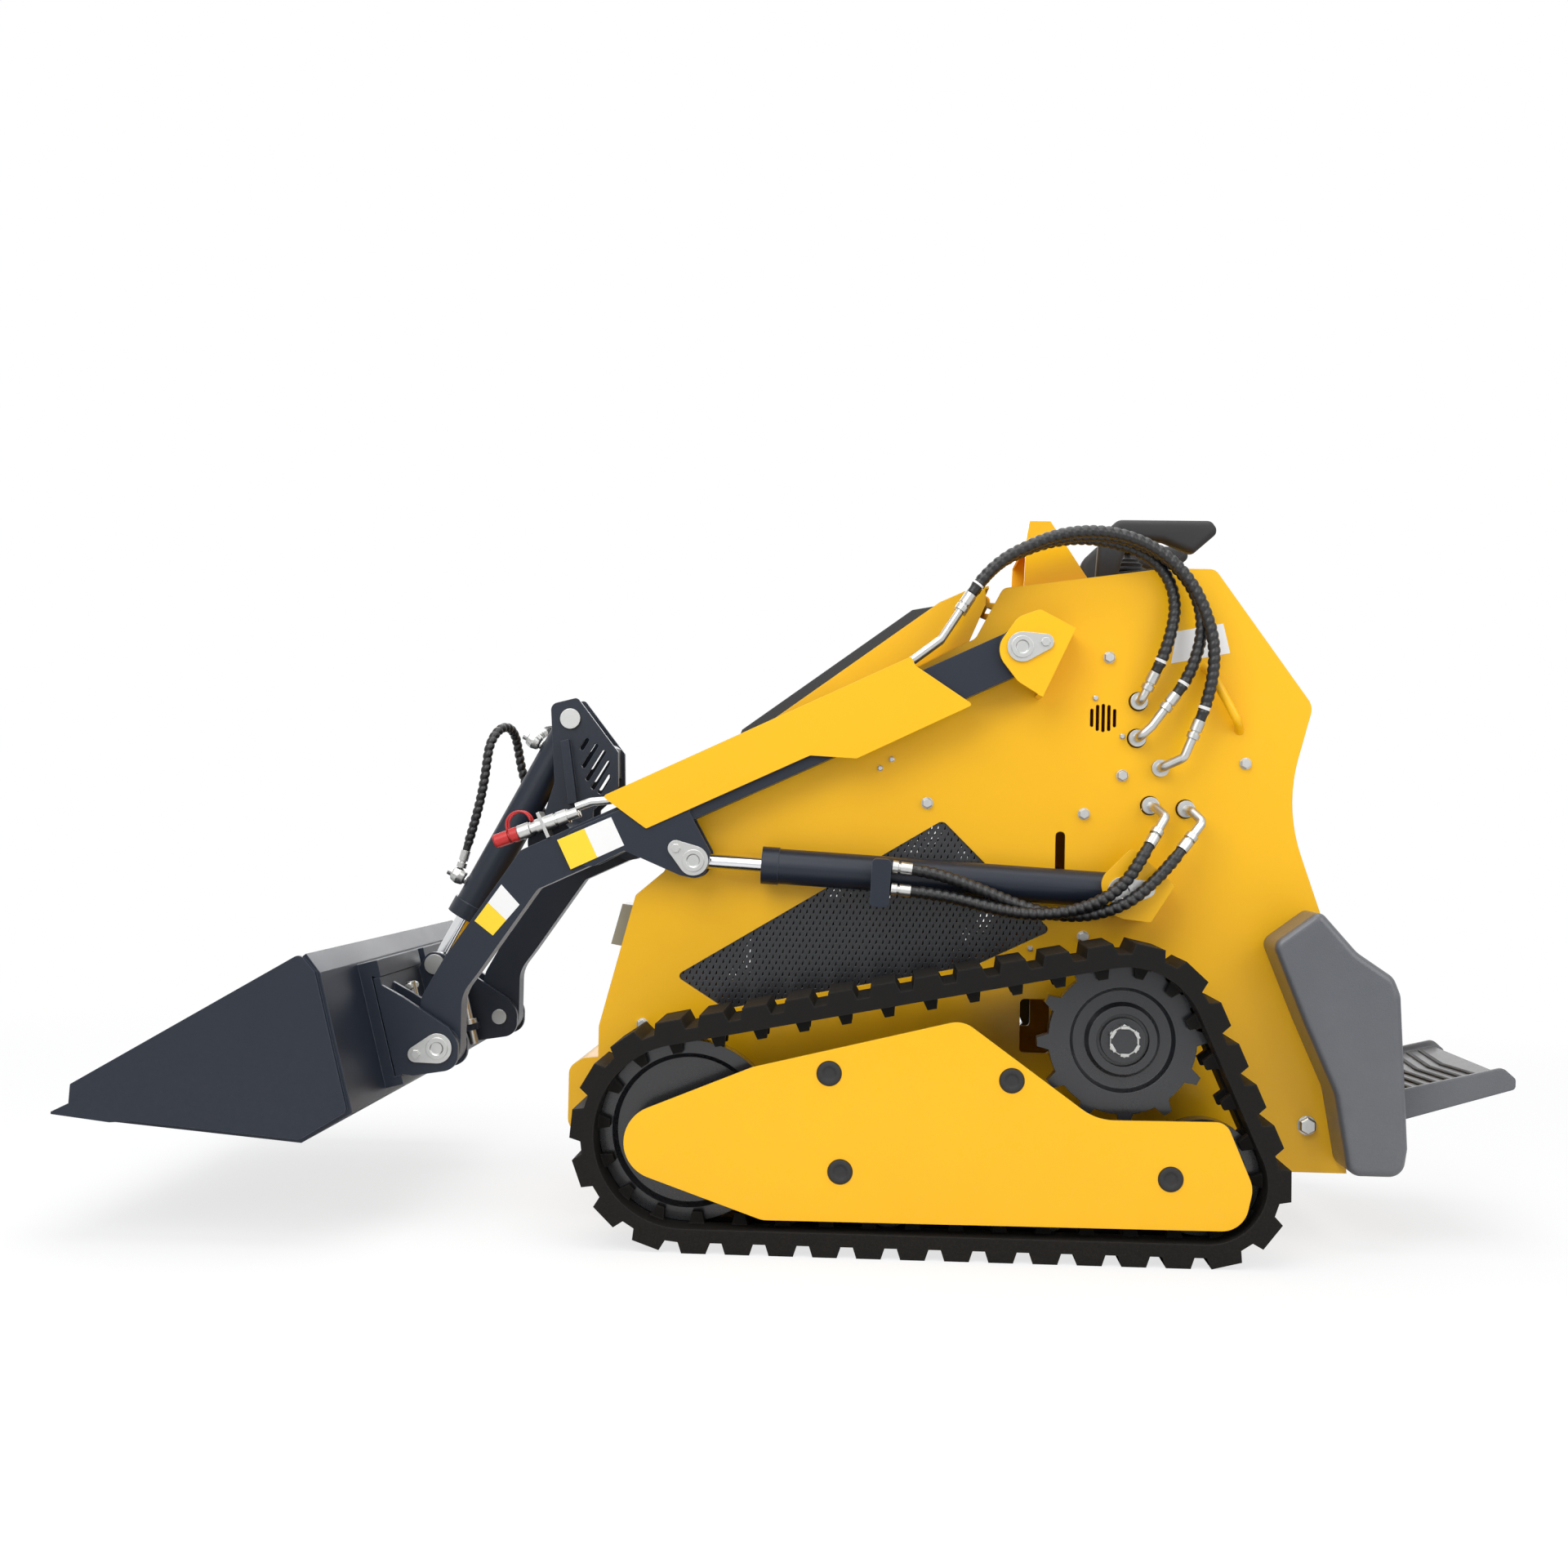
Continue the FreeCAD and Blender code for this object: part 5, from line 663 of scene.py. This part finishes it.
boltGroups = {
    "sideBolts": {
        "across": 17, "height": 8,
        "places": [(-514, 1015), (-540, 807), (-474, 738), (-198, 752), (-755, 832), (-476, 522),
                   (300, 349), (259, 350)],
    },
    "jackBolts": {"across": 27, "height": 12, "places": [(-871, 201)]},
    "smallSideBolts": {
        "across": 8, "height": 4,
        "places": [(-491, 943), (-539, 876), (-134, 828), (-114, 812), (-384, 499)],
    },
}
for name, values in boltGroups.items():
    for end, side in bothSides:
        shape = bmesh.new()
        for x, z in values["places"]:
            y = faceOf("side_plate_" + end.lower(), x * mm, z * mm, side)
            if y is not None and abs(y) > boltValues["nearest"]:
                boltHead(shape, (x * mm, y, z * mm), side, values["across"], values["height"])
        keepPiece(name + end, shape, "zincPlate", "chassis")
print("bolts made")

# Blank labels, each a thin plate on the face that carries it
labels = {
    "sideLabel": {"body": "chassis", "node": "side_plate", "finish": "blankLabel",
                  "corners": [(-622, 1006), (-725, 1026), (-712, 1078), (-631, 1063)]},
    "gussetLabelWhite": {"body": "arms", "node": "lift_arm", "finish": "blankLabel",
                         "corners": [(401, 695), (354, 716), (330, 667), (376.5, 645)]},
    "gussetLabelYellow": {"body": "arms", "node": "lift_arm", "finish": "labelYellow",
                          "corners": [(448, 674), (401, 695), (376.5, 645), (423, 623)]},
    "forearmLabelWhite": {"body": "arms", "node": "lift_arm", "finish": "blankLabel",
                          "corners": [(546, 594), (513, 559), (536, 531.5), (569, 561.5)]},
    "forearmLabelYellow": {"body": "arms", "node": "lift_arm", "finish": "labelYellow",
                           "corners": [(569, 561.5), (536, 531.5), (559, 504), (592, 529)]},
}
labelThick = 0.5
for name, values in labels.items():
    for end, side in bothSides:
        corners = values["corners"]
        middle = (sum(x for x, z in corners) / 4, sum(z for x, z in corners) / 4)
        y = faceOf(values["node"] + "_" + end.lower(), middle[0] * mm, middle[1] * mm, side)
        print("label", name + end, "on y", round(y / mm, 1))
        shape = bmesh.new()
        sheet = shape.faces.new([shape.verts.new((x * mm, y, z * mm)) for x, z in corners])
        raised = bmesh.ops.extrude_face_region(shape, geom=[sheet])["geom"]
        bmesh.ops.translate(shape, verts=[part for part in raised if isinstance(part, bmesh.types.BMVert)],
                            vec=(0, side * labelThick * mm, 0))
        keepPiece(name + end, shape, values["finish"], values["body"])

# Castle nuts on the drive hubs, with six teeth whose middles stand on a ring
nutValues = {
    "x": -528.0, "z": 361.4, "across": 48.0, "nut": (434.0, 450.0), "crown": 457.0, "ring": 22.75,
    "tooth": (5.0, 14.0),
}
for end, side in bothSides:
    shape = bmesh.new()
    turn = Matrix.Rotation(math.radians(-90 * side), 4, "X")
    low, high = nutValues["nut"]
    place = Vector((nutValues["x"], side * (low + high) / 2, nutValues["z"])) * mm
    radius = nutValues["across"] * hexCorner * mm
    bmesh.ops.create_cone(shape, cap_ends=True, segments=6, radius1=radius, radius2=radius,
                          depth=(high - low) * mm, matrix=Matrix.Translation(place) @ turn)
    deep, wide = nutValues["tooth"]
    for tooth in range(6):
        angle = math.radians(60 * tooth + 30)
        spot = Vector((nutValues["x"] + nutValues["ring"] * math.cos(angle),
                       side * (high + nutValues["crown"]) / 2,
                       nutValues["z"] + nutValues["ring"] * math.sin(angle))) * mm
        size = Matrix.Diagonal((deep * mm, (nutValues["crown"] - high) * mm, wide * mm, 1))
        block = Matrix.Translation(spot) @ Matrix.Rotation(-angle, 4, "Y") @ size
        bmesh.ops.create_cube(shape, size=1.0, matrix=block)
    keepPiece("hubNut" + end, shape, "zincPlate", "chassis")
print("hub nuts made")
